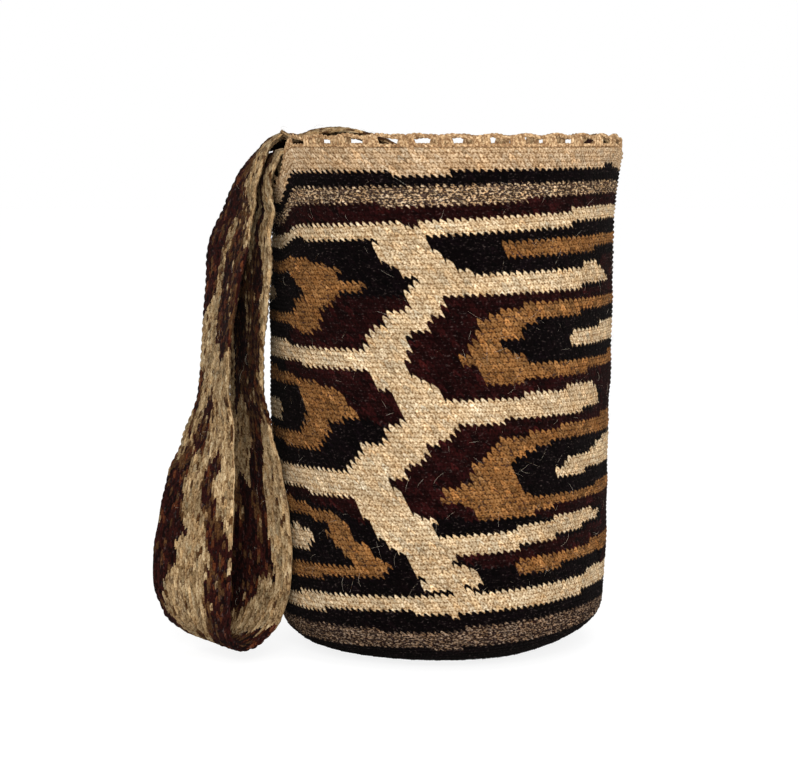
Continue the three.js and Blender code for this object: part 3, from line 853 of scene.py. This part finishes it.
def band_points(frames, line, share, height):
    """Points of the band: line is millimetres from its middle over its width, share the same as a share
    of half the width, and height is along its thickness."""
    middle, across, through, outward, _, bow = frames
    return (
        middle
        + across * line[..., None]
        + through * height[..., None]
        - outward * (bow * share ** 2)[..., None]
    )


def towards_axis(frames):
    """Whether the band's thickness runs towards the bag's axis, 1, or away from it, -1."""
    through, outward = frames[2:4]
    return np.where((through * outward).sum(-1) > 0, -1, 1)


def strap_surface(place, line, above, face=1):
    """Points over a face of the strap: 1 is the face towards the bag's axis, -1 the other."""
    frames = strap_frames(place)
    gather = frames[4]
    share = line / (STRAP_WIDTH / 2 * gather)
    height = face * (gathered_thickness(gather) / 2 + above) + hollow(place) * (1 - share ** 2)
    return band_points(frames, line, share, towards_axis(frames) * height)


def hair(random):
    """One curved hair laid flat, from its own start: how far it goes each way, and how far it stands off."""
    steps = np.linspace(0, 1, HAIR_POINTS)
    curl = random.uniform(0, 2 * math.pi) + random.uniform(-0.9, 0.9) * steps
    length = random.uniform(*HAIR_LENGTHS)
    standing = random.uniform(*HAIR_STANDS) * np.sin(steps * random.uniform(1.6, 3.0))
    across, along = (np.cumsum(part) * length / HAIR_POINTS for part in (np.cos(curl), np.sin(curl)))
    return across, along, standing


def fibre_mesh(name, paths, material, random):
    tubes, colours = [], []
    for path in paths:
        steps = np.linspace(0, 1, len(path))
        tubes.append(tube(path, HAIR_RADIUS + HAIR_RADIUS * np.sin(steps * math.pi), sides=3))
        colours.append(yarn_pair("hair" if random.random() < 0.6 else "brown", "hair", random))
    return yarn_mesh(name, tubes, colours, material)


def body_fibres(material, random):
    """Loose hairs of wool that stand off the body."""
    paths = []
    for _ in range(FIBRE_COUNT):
        line = random.uniform(*HAIR_HEIGHTS)
        turn = random.uniform(0, 2 * math.pi)
        across, along, standing = hair(random)
        paths.append(body_point(line + along, turn + across / BAG_RADIUS, standing - HAIR_ROOT))
    return fibre_mesh("body_fibres", paths, material, random)


def strap_fibres(material, random):
    """Loose hairs that stand off both faces of the band."""
    place, distance = strap_places()
    paths = []
    for number in range(STRAP_FIBRE_COUNT):
        start = random.uniform(HAIR_END_GAP, distance[-1] - HAIR_END_GAP)
        middle = random.uniform(-HAIR_SPREAD, HAIR_SPREAD)
        across, along, standing = hair(random)
        at = np.interp(start + along, distance, place)
        paths.append(strap_surface(at, middle + across * 0.5, standing, 1 if number % 2 else -1))
    return fibre_mesh("strap_fibres", paths, material, random)


# Each station of the strap: its middle, its turn about Z and its roll in degrees, how far it is
# gathered in width, and how far its edges curve towards the bag's axis.
def station(middle, turn, roll=0, gather=1.0, bow=0.0):
    return (np.array(middle, float), turn, roll, gather, bow)


def gathered_thickness(gather):
    return STRAP_THICKNESS + STRAP_FOLD * (1 - gather)


def by_wall(angle, outward, below):
    height = RIM_HEIGHT - below
    radius = wall_radius(min(height, RIM_HEIGHT)) + outward
    turn = math.radians(angle)
    return give_way(np.array([radius * math.cos(turn), radius * math.sin(turn), height]))


def wall_bow(gather):
    half_width = STRAP_WIDTH * gather / 2
    return half_width * half_width / (2 * BAG_RADIUS)


def inside(angle, below, gather):
    outward = -WALL - STRAP_GAP - gathered_thickness(gather) / 2
    return station(by_wall(angle, outward, below), (270 - angle) % 180, 0, gather, wall_bow(gather))


def over_rim(angle, outward, layer, lift, roll, gather):
    thickness = gathered_thickness(gather)
    up = EDGING_GAP + EDGING_HEIGHT + (layer - 0.5) * thickness + layer * STRAP_GAP + lift
    middle = by_wall(angle, outward - WALL / 2, -up)
    return station(middle, (270 - angle) % 180, roll, gather, wall_bow(gather))


def outside(angle, outward, below, turn, roll, gather):
    return station(by_wall(angle, outward, below), turn, roll, gather, wall_bow(gather))


def hanging(outward, side, share, turn, gather=1.0):
    height = LOOP_FLOOR_GAP + share * (RIM_HEIGHT - LOOP_FLOOR_GAP)
    return station((-(BAG_RADIUS + outward * STRAP_WIDTH), side, height), turn, 0, gather)


def above_floor(outward, side, up, turn):
    return station((-(BAG_RADIUS + outward * STRAP_WIDTH), side, LOOP_FLOOR_GAP + up), turn)


def across_mouth(share, side, up, turn, roll=0, gather=1.0):
    return station((share * BAG_RADIUS, side, RIM_HEIGHT + up), turn, roll, gather)


STATIONS = [
    inside(STRAP_ANGLE, LEFT_END_BELOW, SEWN_GATHER),
    inside(STRAP_ANGLE, LEFT_END_BELOW - SEWN_STEP, SEWN_GATHER),
    inside(STRAP_ANGLE, LEFT_END_BELOW - SEWN_STEP * 2, 0.76),
    inside(STRAP_ANGLE, 12, RIM_GATHER),
    inside(STRAP_ANGLE, -4, RIM_GATHER),
    over_rim(STRAP_ANGLE, -0.6, 1, RIM_CREST, 9, RIM_GATHER),
    outside(STRAP_ANGLE, 6.4, -5, 75, 6, RIM_GATHER),
    outside(STRAP_ANGLE, 8.2, 8, 74, 0, 0.76),
    outside(STRAP_ANGLE, 9.6, 22, 71, 0, 0.82),
    hanging(0.138, -28, 0.84, 63, 0.92),
    hanging(0.172, -27.5, 0.77, 61),
    hanging(0.190, -27, 0.69, 64),
    hanging(0.207, -27.5, 0.60, 68),
    hanging(0.207, -28.5, 0.52, 68),
    hanging(0.181, -30, 0.43, 60),
    hanging(0.155, -32, 0.35, 50),
    hanging(0.138, -35, 0.26, 41),
    hanging(0.138, -37.5, 0.19, 36),
    above_floor(0.155, -38, 40, 36),
    above_floor(0.198, -39, 23, 43),
    above_floor(0.302, -42.5, 10, 54),
    above_floor(0.448, -47.5, 5.2, 60),
    above_floor(0.595, -52.5, 10, 54),
    above_floor(0.698, -56, 23, 42),
    above_floor(0.741, -57.5, 40, 34),
    hanging(0.733, -57, 0.20, 34),
    hanging(0.698, -54, 0.27, 38),
    hanging(0.655, -50, 0.345, 44),
    hanging(0.586, -45, 0.42, 56),
    hanging(0.534, -39, 0.52, 70),
    hanging(0.509, -34, 0.62, 71),
    hanging(0.457, -31, 0.715, 68),
    hanging(0.388, -29, 0.805, 62, 0.95),
    hanging(0.267, -28, 0.882, 66, 0.84),
    hanging(0.198, -27.5, 0.932, 70, 0.76),
    over_rim(STRAP_ANGLE, 5, 2, RIM_CREST - 0.6, 12, RIM_GATHER),
    over_rim(STRAP_ANGLE, -3, 2, RIM_CREST + 3.2, 12, RIM_GATHER),
    across_mouth(-0.82, -25, 4.6, 76, 6, RIM_GATHER),
    across_mouth(-0.72, -26, 7.8, 76, 2, RIM_GATHER),
    across_mouth(-0.61, -26, 9.2, 76, 0, 0.74),
    across_mouth(-0.5, -25, 7.8, 77, 0, 0.78),
    across_mouth(-0.35, -23, 2.6, 78, 0, 0.84),
    across_mouth(-0.18, -19, -8, 80, 0, 0.9),
    across_mouth(0.05, -13, -22, 82),
    across_mouth(0.29, -8, -31, 84),
    across_mouth(0.53, -3, -33, 86),
    across_mouth(0.72, 1, -27, 87, 0, 0.94),
    outside(STRAP_END_ANGLE, -22.6, 13, 87, 0, 0.88),
    outside(STRAP_END_ANGLE, -19.6, 2, 87, 0, 0.84),
    outside(STRAP_END_ANGLE, -13.2, -8.4, 87, 0, 0.82),
    inside(STRAP_END_ANGLE, -2, 0.8),
    inside(STRAP_END_ANGLE, 12, SEWN_GATHER),
    inside(STRAP_END_ANGLE, RIGHT_END_BELOW - SEWN_STEP, SEWN_GATHER),
    inside(STRAP_END_ANGLE, RIGHT_END_BELOW, SEWN_GATHER),
]
LAST = len(STATIONS) - 1
MIDDLES = np.array([entry[0] for entry in STATIONS])
VALUES = np.array([entry[1:] for entry in STATIONS])


def path_points(place):
    """Centripetal Catmull-Rom curve through the stations, at places from 0 to the last station."""
    ends = np.concatenate([[2 * MIDDLES[0] - MIDDLES[1]], MIDDLES, [2 * MIDDLES[-1] - MIDDLES[-2]]])
    index = np.minimum(place.astype(int), LAST - 1)
    share = (place - index)[:, None]
    p0, p1, p2, p3 = (ends[index + k] for k in range(4))
    d0, d1, d2 = (np.sqrt(np.linalg.norm(b - a, axis=1))[:, None] for a, b in ((p0, p1), (p1, p2), (p2, p3)))
    t1 = ((p1 - p0) / d0 - (p2 - p0) / (d0 + d1) + (p2 - p1) / d1) * d1
    t2 = ((p2 - p1) / d1 - (p3 - p1) / (d1 + d2) + (p3 - p2) / d2) * d1
    cube = 2 * p1 - 2 * p2 + t1 + t2
    square = -3 * p1 + 3 * p2 - 2 * t1 - t2
    return p1 + t1 * share + square * share ** 2 + cube * share ** 3


def strap_frames(place):
    """Middle, width and thickness directions, gathering and bow at places along the strap."""
    middle = path_points(place)
    near = np.clip(place - NEARBY, 0, LAST)
    far = np.clip(place + NEARBY, 0, LAST)
    along = unit(path_points(far) - path_points(near))
    index = np.minimum(place.astype(int), LAST - 1)
    share = place - index
    blend = (share * share * (3 - 2 * share))[:, None]
    turn, roll, gather, bow = (VALUES[index] * (1 - blend) + VALUES[index + 1] * blend).T
    turn, roll = np.radians(turn), np.radians(roll)
    across = np.stack([np.cos(turn) * np.cos(roll), -np.sin(turn) * np.cos(roll), np.sin(roll)], 1)
    across = unit(across - along * (across * along).sum(1)[:, None])
    through = unit(np.cross(across, along))
    outward = unit(middle * np.array([1, 1, 0]))
    return middle, across, through, outward, gather, bow


def strap_places():
    """Even steps along the strap, and their distance from its first end."""
    fine = np.linspace(0, LAST, FINE_STEPS)
    lengths = np.concatenate([[0], np.cumsum(np.linalg.norm(np.diff(path_points(fine), axis=0), axis=1))])
    count = int(round(lengths[-1] / BRAID_STEP / STROKE_ROWS)) * STROKE_ROWS
    distance = np.linspace(0, lengths[-1], count + 1)
    return np.interp(distance, lengths, fine), distance


# Colours of the band: at a station, where each of six stripes ends, from -1 at the far edge to 1 at
# the near one, and the yarn of each. Between the stations listed the stripes wander.
STRIPES = [
    (0, (-0.7, -0.35, 0.1, 0.4, 0.75), "tan brown tan beige brown tan"),
    (6, (-0.7, -0.35, 0.1, 0.4, 0.7), "brown tan brown pale_tan brown pale_tan"),
    (9, (-0.7, -0.35, 0.05, 0.4, 0.6), "tan brown wine pale_tan wine pale_tan"),
    (10, (-0.7, -0.4, 0.0, 0.45, 0.75), "tan wine brown brown wine pale_tan"),
    (12, (-0.7, -0.35, 0.1, 0.4, 0.84), "tan wine soot brown mixed tan"),
    (13, (-0.6, -0.2, 0.1, 0.5, 0.86), "beige wine brown mixed mixed brown"),
    (14, (-0.5, -0.1, 0.1, 0.3, 0.62), "beige tan beige brown wine pale_tan"),
    (15, (-0.6, -0.3, 0.1, 0.3, 0.52), "beige tan beige soot wine pale_tan"),
    (16, (-0.5, -0.2, 0.1, 0.3, 0.48), "beige brown soot brown mixed pale_tan"),
    (17, (-0.6, -0.25, 0.15, 0.3, 0.46), "brown soot wine mixed wine pale_tan"),
    (19, (-0.65, -0.2, 0.0, 0.2, 0.8), "brown soot mixed tan pale_tan tan"),
    (20, (-0.75, -0.4, -0.1, 0.2, 0.62), "mixed soot tan pale_tan tan mixed"),
    (21, (-0.75, -0.5, -0.1, 0.2, 0.5), "wine mixed tan brown mixed wine"),
    (22, (-0.7, -0.1, 0.05, 0.3, 0.7), "mixed pale_tan brown tan mixed wine"),
    (23, (-0.85, -0.3, 0.0, 0.3, 0.66), "mixed tan pale_tan tan mixed wine"),
    (24, (-0.6, -0.2, 0.2, 0.38, 0.86), "wine pale_tan tan beige mixed wine"),
    (25, (-0.4, -0.1, 0.2, 0.35, 0.82), "wine pale_tan tan beige mixed pale_tan"),
    (26, (-0.92, -0.25, 0.1, 0.3, 0.72), "beige wine tan beige mixed pale_tan"),
    (27, (-0.9, -0.32, 0.0, 0.16, 0.5), "mixed wine beige tan mixed pale_tan"),
    (28, (-0.7, -0.4, -0.05, 0.3, 0.84), "beige brown mixed pale_tan pale_tan tan"),
    (29, (-0.75, -0.3, 0.1, 0.5, 0.85), "mixed tan pale_tan tan pale_tan beige"),
    (30, (-0.5, -0.3, 0.1, 0.35, 0.7), "pale_tan beige mixed wine soot brown"),
    (31, (-0.45, -0.15, 0.1, 0.5, 0.8), "wine beige soot mixed brown mixed"),
    (32, (-0.35, -0.12, 0.25, 0.5, 0.8), "wine beige brown wine brown wine"),
    (33, (-0.5, 0.0, 0.3, 0.6, 0.85), "wine wine brown brown brown tan"),
    (34, (-0.5, -0.1, 0.3, 0.6, 0.8), "wine brown brown tan pale_tan tan"),
    (36, (-0.6, -0.3, 0.1, 0.45, 0.7), "wine brown mixed brown tan beige"),
    (38, (-0.6, -0.2, 0.2, 0.5, 0.8), "brown mixed brown tan brown tan"),
    (43, (-0.6, -0.2, 0.2, 0.5, 0.8), "brown tan brown beige tan brown"),
    (48, (-0.6, -0.2, 0.2, 0.5, 0.8), "tan wine tan brown tan tan"),
    (LAST, (-0.6, -0.2, 0.2, 0.5, 0.8), "tan tan beige tan tan tan"),
]
# Each stripe is spun from mixed wool: what other yarns turn up in it, and how often
FLECKS = {
    "wine": ("rust", 0.08, "soot", 0.25, "brown", 0.12),
    "soot": ("wine", 0.3, "brown", 0.08, "rust", 0.02),
    "mixed": ("rust", 0.2, "brown", 0.3, "tan", 0.06),
    "brown": ("tan", 0.15, "wine", 0.18, "rust", 0.1),
    "tan": ("brown", 0.07, "pale_tan", 0.25, "beige", 0.25),
    "pale_tan": ("tan", 0.4, "beige", 0.15, "brown", 0.03),
    "beige": ("tan", 0.3, "brown", 0.1, "pale_tan", 0.1),
}


def strap_yarns(place, offset, random):
    """The yarn of each braid stroke, from its place along the strap and its offset over the width."""
    broad = 0.08 * smooth_noise(place * 3.1, offset * 1.5, 21)
    small = 0.03 * smooth_noise(place * 8, offset * 3, 22)
    offset = offset + (broad + small)
    stations, ends, yarns = zip(*STRIPES)
    stations, ends = np.array(stations, float), np.array(ends)
    shifted = place + 0.35 * smooth_noise(offset * 9, place * 2, 23)
    key = np.searchsorted((stations[1:] + stations[:-1]) / 2, shifted)
    bounds = np.stack([np.interp(place, stations, column) for column in ends.T], -1)
    stripe = (offset[..., None] > bounds).sum(-1)
    names = np.array([row.split() for row in yarns])[key, stripe]
    result = names.copy()
    for name, (one, one_share, two, two_share, three, three_share) in FLECKS.items():
        chance = random.random(names.shape)
        mine = names == name
        result[mine & (chance < one_share)] = one
        result[mine & (chance >= one_share) & (chance < one_share + two_share)] = two
        result[mine & (chance > 1 - three_share)] = three
    result[result == "mixed"] = "wine"
    return result


def strap_height(offset, distance, gather, side):
    """How far a face of the band is from its middle layer, before the relief of the braid."""
    half = gathered_thickness(gather) / 2
    edge = np.sqrt(np.clip(1 - np.abs(offset) ** 5, 0, 1))
    folded = clamp((1 - gather) / (1 - RIM_GATHER))
    wave = FOLD_WAVE * folded * np.sin(offset * 7.5 + 0.4 * np.sin(distance / 23))
    body = (half - BRAID_ROOM - FOLD_WAVE * folded) * (0.25 + 0.75 * edge)
    return side * body + wave * edge


def hollow(place):
    """How far the middle of the band is drawn back towards the bag, in the second hanging run."""
    return HOLLOW_DEPTH * np.exp(-((place - HOLLOW_PLACE) / HOLLOW_SPREAD) ** 2)


def strap_grids(place, distance, random):
    """The points of the band's two faces, with the relief of the braided strokes."""
    frames = [part[:, None] for part in strap_frames(place)]
    gather = frames[4]
    row, column = np.arange(len(place))[:, None], np.arange(BRAID_COLUMNS + 1)
    cord = np.minimum(column // 2, BRAID_CORDS - 1)[None, :]
    last = len(place) // STROKE_ROWS + 1
    lift = random.normal(0, BRAID_LIFT_SPREAD, (BRAID_CORDS, last + 1))
    relief = np.array(STROKE_RELIEF)[(row + 2 * (cord % 2)) % STROKE_ROWS] * (column % 2 == 1)[None, :]
    relief = relief * BRAID_RELIEF * (1 + lift[cord, np.minimum((row + 2) // STROKE_ROWS, last)])
    offset = (column / BRAID_COLUMNS * 2 - 1)[None, :]
    lean = BRAID_LEAN * np.sin((row / 4.0 + cord * 1.7) * 0.9) / BRAID_CORDS
    share = np.clip(offset + np.where(np.abs(offset) < 0.97, lean, 0), -1, 1)
    drawn = hollow(place)[:, None] * (1 - share ** 2) * towards_axis(frames)
    line = share * STRAP_WIDTH / 2 * gather
    grids = []
    for side in (1, -1):
        height = strap_height(share, distance[:, None], gather, side) + side * relief
        grids.append(band_points(frames, line, share, height + drawn).reshape(-1, 3))
    return grids


def strap_quads(rows):
    """The faces of the band: its two sides, then its two long edges and its two ends."""
    size = rows * (BRAID_COLUMNS + 1)
    quads = [grid_faces(rows, BRAID_COLUMNS + 1, wrap=False),
             grid_faces(rows, BRAID_COLUMNS + 1, start=size, wrap=False, flip=True)]
    points = np.arange(size).reshape(rows, -1)
    for line, flip in ((points[:, 0], False), (points[:, -1], True), (points[0], True), (points[-1], False)):
        strip = np.stack([line[:-1], line[:-1] + size, line[1:] + size, line[1:]], 1)
        quads.append(strip[:, ::-1] if flip else strip)
    return quads


def strap_piece(material, random):
    """The woven band: both faces with their braided strokes, closed along the edges and at the ends."""
    place, distance = strap_places()
    rows = len(place)
    grids = strap_grids(place, distance, random)
    quads = strap_quads(rows)

    row, column = grid(rows - 1, BRAID_COLUMNS)
    cord = column // 2
    shifted = row + 2 * (cord % 2) + (column + cord) % 2
    stroke, begin = shifted // STROKE_ROWS, shifted % STROKE_ROWS
    strokes = rows // STROKE_ROWS + 3
    stroke_cord, stroke_row = grid(BRAID_CORDS, strokes)
    middle_row = np.clip(stroke_row * STROKE_ROWS + 2 - 2 * (stroke_cord % 2), 0, rows - 1)
    stroke_place = np.interp(middle_row, np.arange(rows), place)
    stroke_offset = (stroke_cord + 0.5) / BRAID_CORDS * 2 - 1
    across = np.stack([column % 2] * 2 + [column % 2 + 1] * 2, -1) / 2
    along = np.stack([begin, begin + 1, begin + 1, begin], -1) / STROKE_ROWS
    number = np.broadcast_to(((cord * 5.3 + stroke * 2.9) % YARN_NUMBERS)[..., None], across.shape)
    weave, uvs, plies = [], [], ([], [])
    for side in (0, 1):
        names = strap_yarns(stroke_place, stroke_offset, random)
        pair = [colours.reshape(names.shape + (3,)) for colours in yarn_colours(names.ravel(), random)]
        for values, colours in zip(plies, pair):
            values.append(spread(colours[cord, stroke], 4))
        corner = np.stack([across, along, number], -1)
        uv = band_uvs(row, column, rows - 1, BRAID_COLUMNS, side)
        if side == 1:
            corner, uv = corner[..., ::-1, :], uv[..., ::-1, :]
        weave.append(corner.reshape(-1, 3))
        uvs.append(uv.reshape(-1, 2))

    edge = np.minimum(np.arange(rows - 1) // STROKE_ROWS, strokes - 1)
    for values in plies:
        values.append(spread(pair[0][0, edge], 4))
        values.append(spread(pair[0][-1, edge], 4))
        values.append(np.tile(pair[0][0, 0], (BRAID_COLUMNS * 2 * 4, 1)))
    rest = sum(len(strip) for strip in quads[2:])
    weave.append(np.full((rest * 4, 3), EDGE_PLACE))
    spare = np.arange(rest) / rest * 0.98 + 0.01
    u = np.stack([spare, spare + 0.5 / rest, spare + 0.5 / rest, spare], -1)
    v = np.broadcast_to(np.array([0.982, 0.982, 0.995, 0.995]), u.shape)
    uvs.append(np.stack([u, v], -1).reshape(-1, 2))
    yarn, ply = (opaque(np.concatenate(values)) for values in plies)
    corners = {"yarn": yarn, "ply": ply, "below": yarn, "weave": np.concatenate(weave)}
    faces = [np.concatenate(quads)]
    piece = add_mesh("strap_band", np.concatenate(grids), faces, corners, np.concatenate(uvs), material)
    return piece, distance[-1]


def band_uvs(row, column, rows, columns, side):
    """The band cut into four lengths for each face, laid beside one another."""
    cut = np.minimum(row * 4 // rows, 3)
    first = cut * rows // 4
    length = -(-rows // 4)
    down = row - first
    u = np.stack([down, down + 1, down + 1, down], -1) / (length + 1) * 0.98 + 0.01
    v = np.stack([column, column, column + 1, column + 1], -1) / columns * 0.11 + 0.01
    v = v + (cut + 4 * side)[..., None] * 0.12
    return np.stack([u, v], -1)


def nodes_of(name):
    material = bpy.data.materials.new(name)
    material.use_nodes = True
    tree = material.node_tree
    shader = tree.nodes["Principled BSDF"]
    return material, tree, shader


def set_inputs(node, inputs):
    """Gives each input a number or a colour, or links it to an output."""
    for key, value in dict(inputs).items():
        if isinstance(value, bpy.types.NodeSocket):
            node.id_data.links.new(value, node.inputs[key])
        else:
            node.inputs[key].default_value = value


def add_node(tree, kind, inputs=(), **settings):
    node = tree.nodes.new("ShaderNode" + kind)
    for key, value in settings.items():
        setattr(node, key, value)
    set_inputs(node, inputs)
    return node


def mix_into(tree, output, share, one, two):
    """Sends a mix of two shader nodes to an output node, by a share from a third."""
    mix = add_node(tree, "MixShader", enumerate(node.outputs[0] for node in (share, one, two)))
    tree.links.new(mix.outputs[0], tree.nodes[output].inputs[0])


def wool_material(name, strands, groove, tooth, marl, stretch):
    """Twisted wool yarn. The colours of each stitch come with the mesh: its two plies, and the stitch
    below, whose tip reaches up between. An alpha of 0 marks two-coloured yarn. Strands is how many lie
    side by side in a stitch, groove how dark the painted shade is in the hollows between them and along
    the edges of the tips, tooth how far up the tips reach, marl how much of the second ply shows, and
    stretch how the flecks are drawn out along X, Y and Z."""
    material, tree, shader = nodes_of(name)

    def output(kind, inputs=(), socket=0, **settings):
        return add_node(tree, kind, inputs, **settings).outputs[socket]

    def maths(operation, *values, clamped=False):
        return output("Math", enumerate(values), operation=operation, use_clamp=clamped)

    def plus(one, two):
        return maths("ADD", one, two)

    def minus(one, two):
        return maths("SUBTRACT", one, two)

    def times(one, two):
        return maths("MULTIPLY", one, two)

    def ramp(value, low, high, start=0.0, end=1.0):
        span = {0: value, "From Min": low, "From Max": high, "To Min": start, "To Max": end}
        return output("MapRange", span, interpolation_type="SMOOTHSTEP")

    def noise(vector, scale, detail=2.0):
        return output("TexNoise", {"Vector": vector, "Scale": scale, "Detail": detail})

    def mix(share, one, two):
        return output("Mix", {0: share, 6: one, 7: two}, 2, data_type="RGBA")

    def off_middle(value):
        """How far a value is from the middle of its own whole step, squared: 1 at the step's ends."""
        return maths("POWER", minus(1.0, times(maths("PINGPONG", value, 0.5), 2.0)), 2.0)

    def second_share(one):
        """Where the second ply of a yarn shows, more so in a marled one."""
        return ramp(plus(flecks, times(minus(1.0, one["Alpha"]), 0.07)), 0.66 - marl, 0.78 - marl)

    names = ("yarn", "ply", "below", "weave")
    yarn, ply, below, weave = (add_node(tree, "Attribute", attribute_name=key).outputs for key in names)
    across, along, number = add_node(tree, "SeparateXYZ", {0: weave["Vector"]}).outputs
    where = output("TexCoord", socket="Object")
    flecks = noise(output("VectorMath", {0: where, 1: stretch}, operation="MULTIPLY"), 560, 3)
    fuzz = noise(where, 1100)
    fine = noise(where, 900, 3)
    patches = noise(where, 42, 3)

    # every strand and every tip is a little different
    pair = output("CombineXYZ", {0: number, 1: maths("FLOOR", times(across, strands))})
    chance = output("TexWhiteNoise", {"Vector": pair}, "Value", noise_dimensions="2D")
    luck = output("TexWhiteNoise", {"W": number}, "Value", noise_dimensions="1D")

    # the tip of the stitch below, a leaf that leans left as it rises
    rise = minus(1.0, along)
    uneven = times(minus(fuzz, 0.5), 0.9)
    centre = minus(0.5, times(rise, plus(0.06, times(luck, 0.14))))
    off = maths("ABSOLUTE", minus(across, centre))
    longest = ramp(luck, 0.0, 1.0, tooth * 0.78, tooth * 1.2)
    left = maths("SUBTRACT", 1.0, maths("DIVIDE", rise, longest), clamped=True)
    width = times(maths("POWER", left, 0.52), 0.44)
    margin = plus(minus(width, off), times(uneven, 0.3))
    tip = ramp(margin, -0.03, 0.04)
    # painted shade: a dark crease along the edge of each tip, where it overlaps the stitch
    rim = ramp(maths("ABSOLUTE", margin), 0.0, 0.14, 1 - groove * 0.5, 1.0)

    marled = times(minus(1.0, below["Alpha"]), second_share(below))
    speckled = mix(marled, below["Color"], (0.03, 0.018, 0.013, 1))
    body = mix(tip, mix(second_share(yarn), yarn["Color"], ply["Color"]), speckled)

    # painted shade: the colour is darker in the hollows between the strands and between the rows of a stitch
    hollows = plus(plus(times(off_middle(times(across, strands)), 0.75), off_middle(along)), uneven)
    hollow_shade = ramp(hollows, 0.45, 1.6, 1.0, 1 - groove)
    light = ramp(fine, 0.28, 0.72, 0.62, 1.36)
    slow = ramp(patches, 0.3, 0.7, 0.9, 1.1)
    each = ramp(chance, 0.0, 1.0, 0.84, 1.16)
    shade = times(times(times(light, slow), times(hollow_shade, rim)), each)

    # shaded hollows turn warmer, as light that has gone through the wool
    warm = output("CombineXYZ", {0: maths("POWER", shade, 0.8), 1: shade, 2: maths("POWER", shade, 1.25)})
    shaded = output("VectorMath", {0: body, 1: warm}, operation="MULTIPLY")
    # pale flecks added to the colour: partly light fuzz fibres, partly a painted highlight of fibre sheen on
    # the dark wool
    lint_and_sheen = {0: (1.0, 0.72, 0.66), "Scale": ramp(flecks, 0.58, 0.76, 0.0, 0.045)}
    pale = output("VectorMath", lint_and_sheen, operation="SCALE")
    colour = output("VectorMath", {0: shaded, 1: pale}, operation="ADD")

    height = plus(plus(times(hollow_shade, 0.9), times(fuzz, 0.7)), times(flecks, 0.8))
    bump = output("Bump", {"Strength": 0.6, "Distance": 0.45 * MM, "Height": height})
    set_inputs(shader, {
        "Base Color": colour,
        "Normal": bump,
        "Roughness": 0.95,
        "Specular IOR Level": 0.03,
        "Sheen Weight": 0.01,
        "Sheen Roughness": 0.6,
        "Sheen Tint": (1.0, 0.9, 0.78, 1),
    })
    return material


def add_camera():
    """Stands where the photograph was taken from, level with the rim and looking slightly down."""
    data = bpy.data.cameras.new("camera")
    data.sensor_fit = "HORIZONTAL"
    data.sensor_width = 36
    data.lens = 109.04
    data.clip_start = 0.05
    data.clip_end = 50
    camera = add_object("camera", data, (-0.025, -1.450, 0.303))
    camera.rotation_euler = (math.radians(84.2), 0, 0)
    bpy.context.scene.camera = camera


def area_light(name, place, target, size, power):
    data = bpy.data.lights.new(name, "AREA")
    data.shape = "DISK"
    data.size = size
    data.energy = power
    light = add_object(name, data, place)
    direction = np.array(target) - np.array(place)
    light.rotation_euler = Vector(direction).to_track_quat("-Z", "Y").to_euler()


def add_light():
    """Plain soft studio light: an even white surround and large lamps in front, above and on the right."""
    world = bpy.data.worlds.new("surround")
    bpy.context.scene.world = world
    world.use_nodes = True
    tree = world.node_tree
    surround = tree.nodes["Background"]
    set_inputs(surround, {0: WHITE, 1: SURROUND_POWER})
    seen = add_node(tree, "Background", {0: WHITE, 1: 1.0})
    rays = add_node(tree, "LightPath").outputs
    most = add_node(tree, "Math", {0: rays["Is Camera Ray"], 1: rays["Is Glossy Ray"]}, operation="MAXIMUM")
    mix_into(tree, "World Output", most, surround, seen)
    area_light("key", (-0.05, -1.7, 0.85), (0, 0, 0.15), 0.9, 22)
    area_light("side", (1.3, -0.9, 0.45), (0, 0, 0.15), 0.8, 5)
    area_light("top", (0.2, -0.3, 1.6), (0, 0, 0.1), 1.2, 5)


def add_floor():
    """A pale floor that reads as the white surround and keeps the bag's soft shadow."""
    mesh = bpy.data.meshes.new("floor")
    mesh.from_pydata([(-6, -3, 0), (6, -3, 0), (6, 9, 0), (-6, 9, 0)], [], [(0, 1, 2, 3)])
    floor = add_object("floor", mesh, (0, 0, FLOOR_DROP))
    material, tree, shader = nodes_of("pale_floor")
    set_inputs(shader, {"Base Color": (0.9, 0.9, 0.9, 1), "Roughness": 1.0, "Specular IOR Level": 0.0})
    glow = add_node(tree, "Emission", {0: WHITE, 1: FLOOR_GLOW})
    camera_ray = add_node(tree, "LightPath").outputs["Is Camera Ray"]
    share = add_node(tree, "Math", {0: camera_ray, 1: FLOOR_GLOW_SHARE}, operation="MULTIPLY")
    mix_into(tree, "Material Output", share, shader, glow)
    mesh.materials.append(material)


bpy.context.scene.view_settings.view_transform = "Standard"
add_camera()
add_light()
add_floor()

random = np.random.default_rng(11)
looped_wool = wool_material(
    "looped_wool", strands=2, groove=0.74, tooth=0.74, marl=0.18, stretch=(1, 1, 1.9))
braided_wool = wool_material(
    "braided_wool", strands=1, groove=0.42, tooth=0.6, marl=0.2, stretch=(1, 1, 0.6))
corded_wool = wool_material(
    "corded_wool", strands=1, groove=0.3, tooth=0.5, marl=0.22, stretch=(1, 1, 1))

table = stitch_table(random)
body_pieces = [
    body_band("bag_upper", 0, BAND_SUBROWS, table, looped_wool),
    body_band("bag_middle", BAND_SUBROWS, 2 * BAND_SUBROWS, table, looped_wool),
    body_band("bag_lower", 2 * BAND_SUBROWS, WALL_SUBROWS, table, looped_wool),
    body_band("bag_corner", WALL_SUBROWS, SUBROWS, table, looped_wool),
    base_piece(looped_wool),
    body_fibres(corded_wool, random),
]
for piece in body_pieces:
    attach(piece, "root")
    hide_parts("bag_body")

strap, strap_length = strap_piece(braided_wool, random)
for piece in (strap, strap_fibres(corded_wool, random)):
    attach(piece, "root")
    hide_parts("strap")

edging = edging_piece(corded_wool, random)
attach(edging, "root")
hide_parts("rim_edging")

for name, from_end in (("seam_left", 0), ("seam_right", 1)):
    seam = seam_piece(name + "_stitches", from_end, corded_wool, random)
    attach(seam, "root")
    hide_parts("strap_" + name)
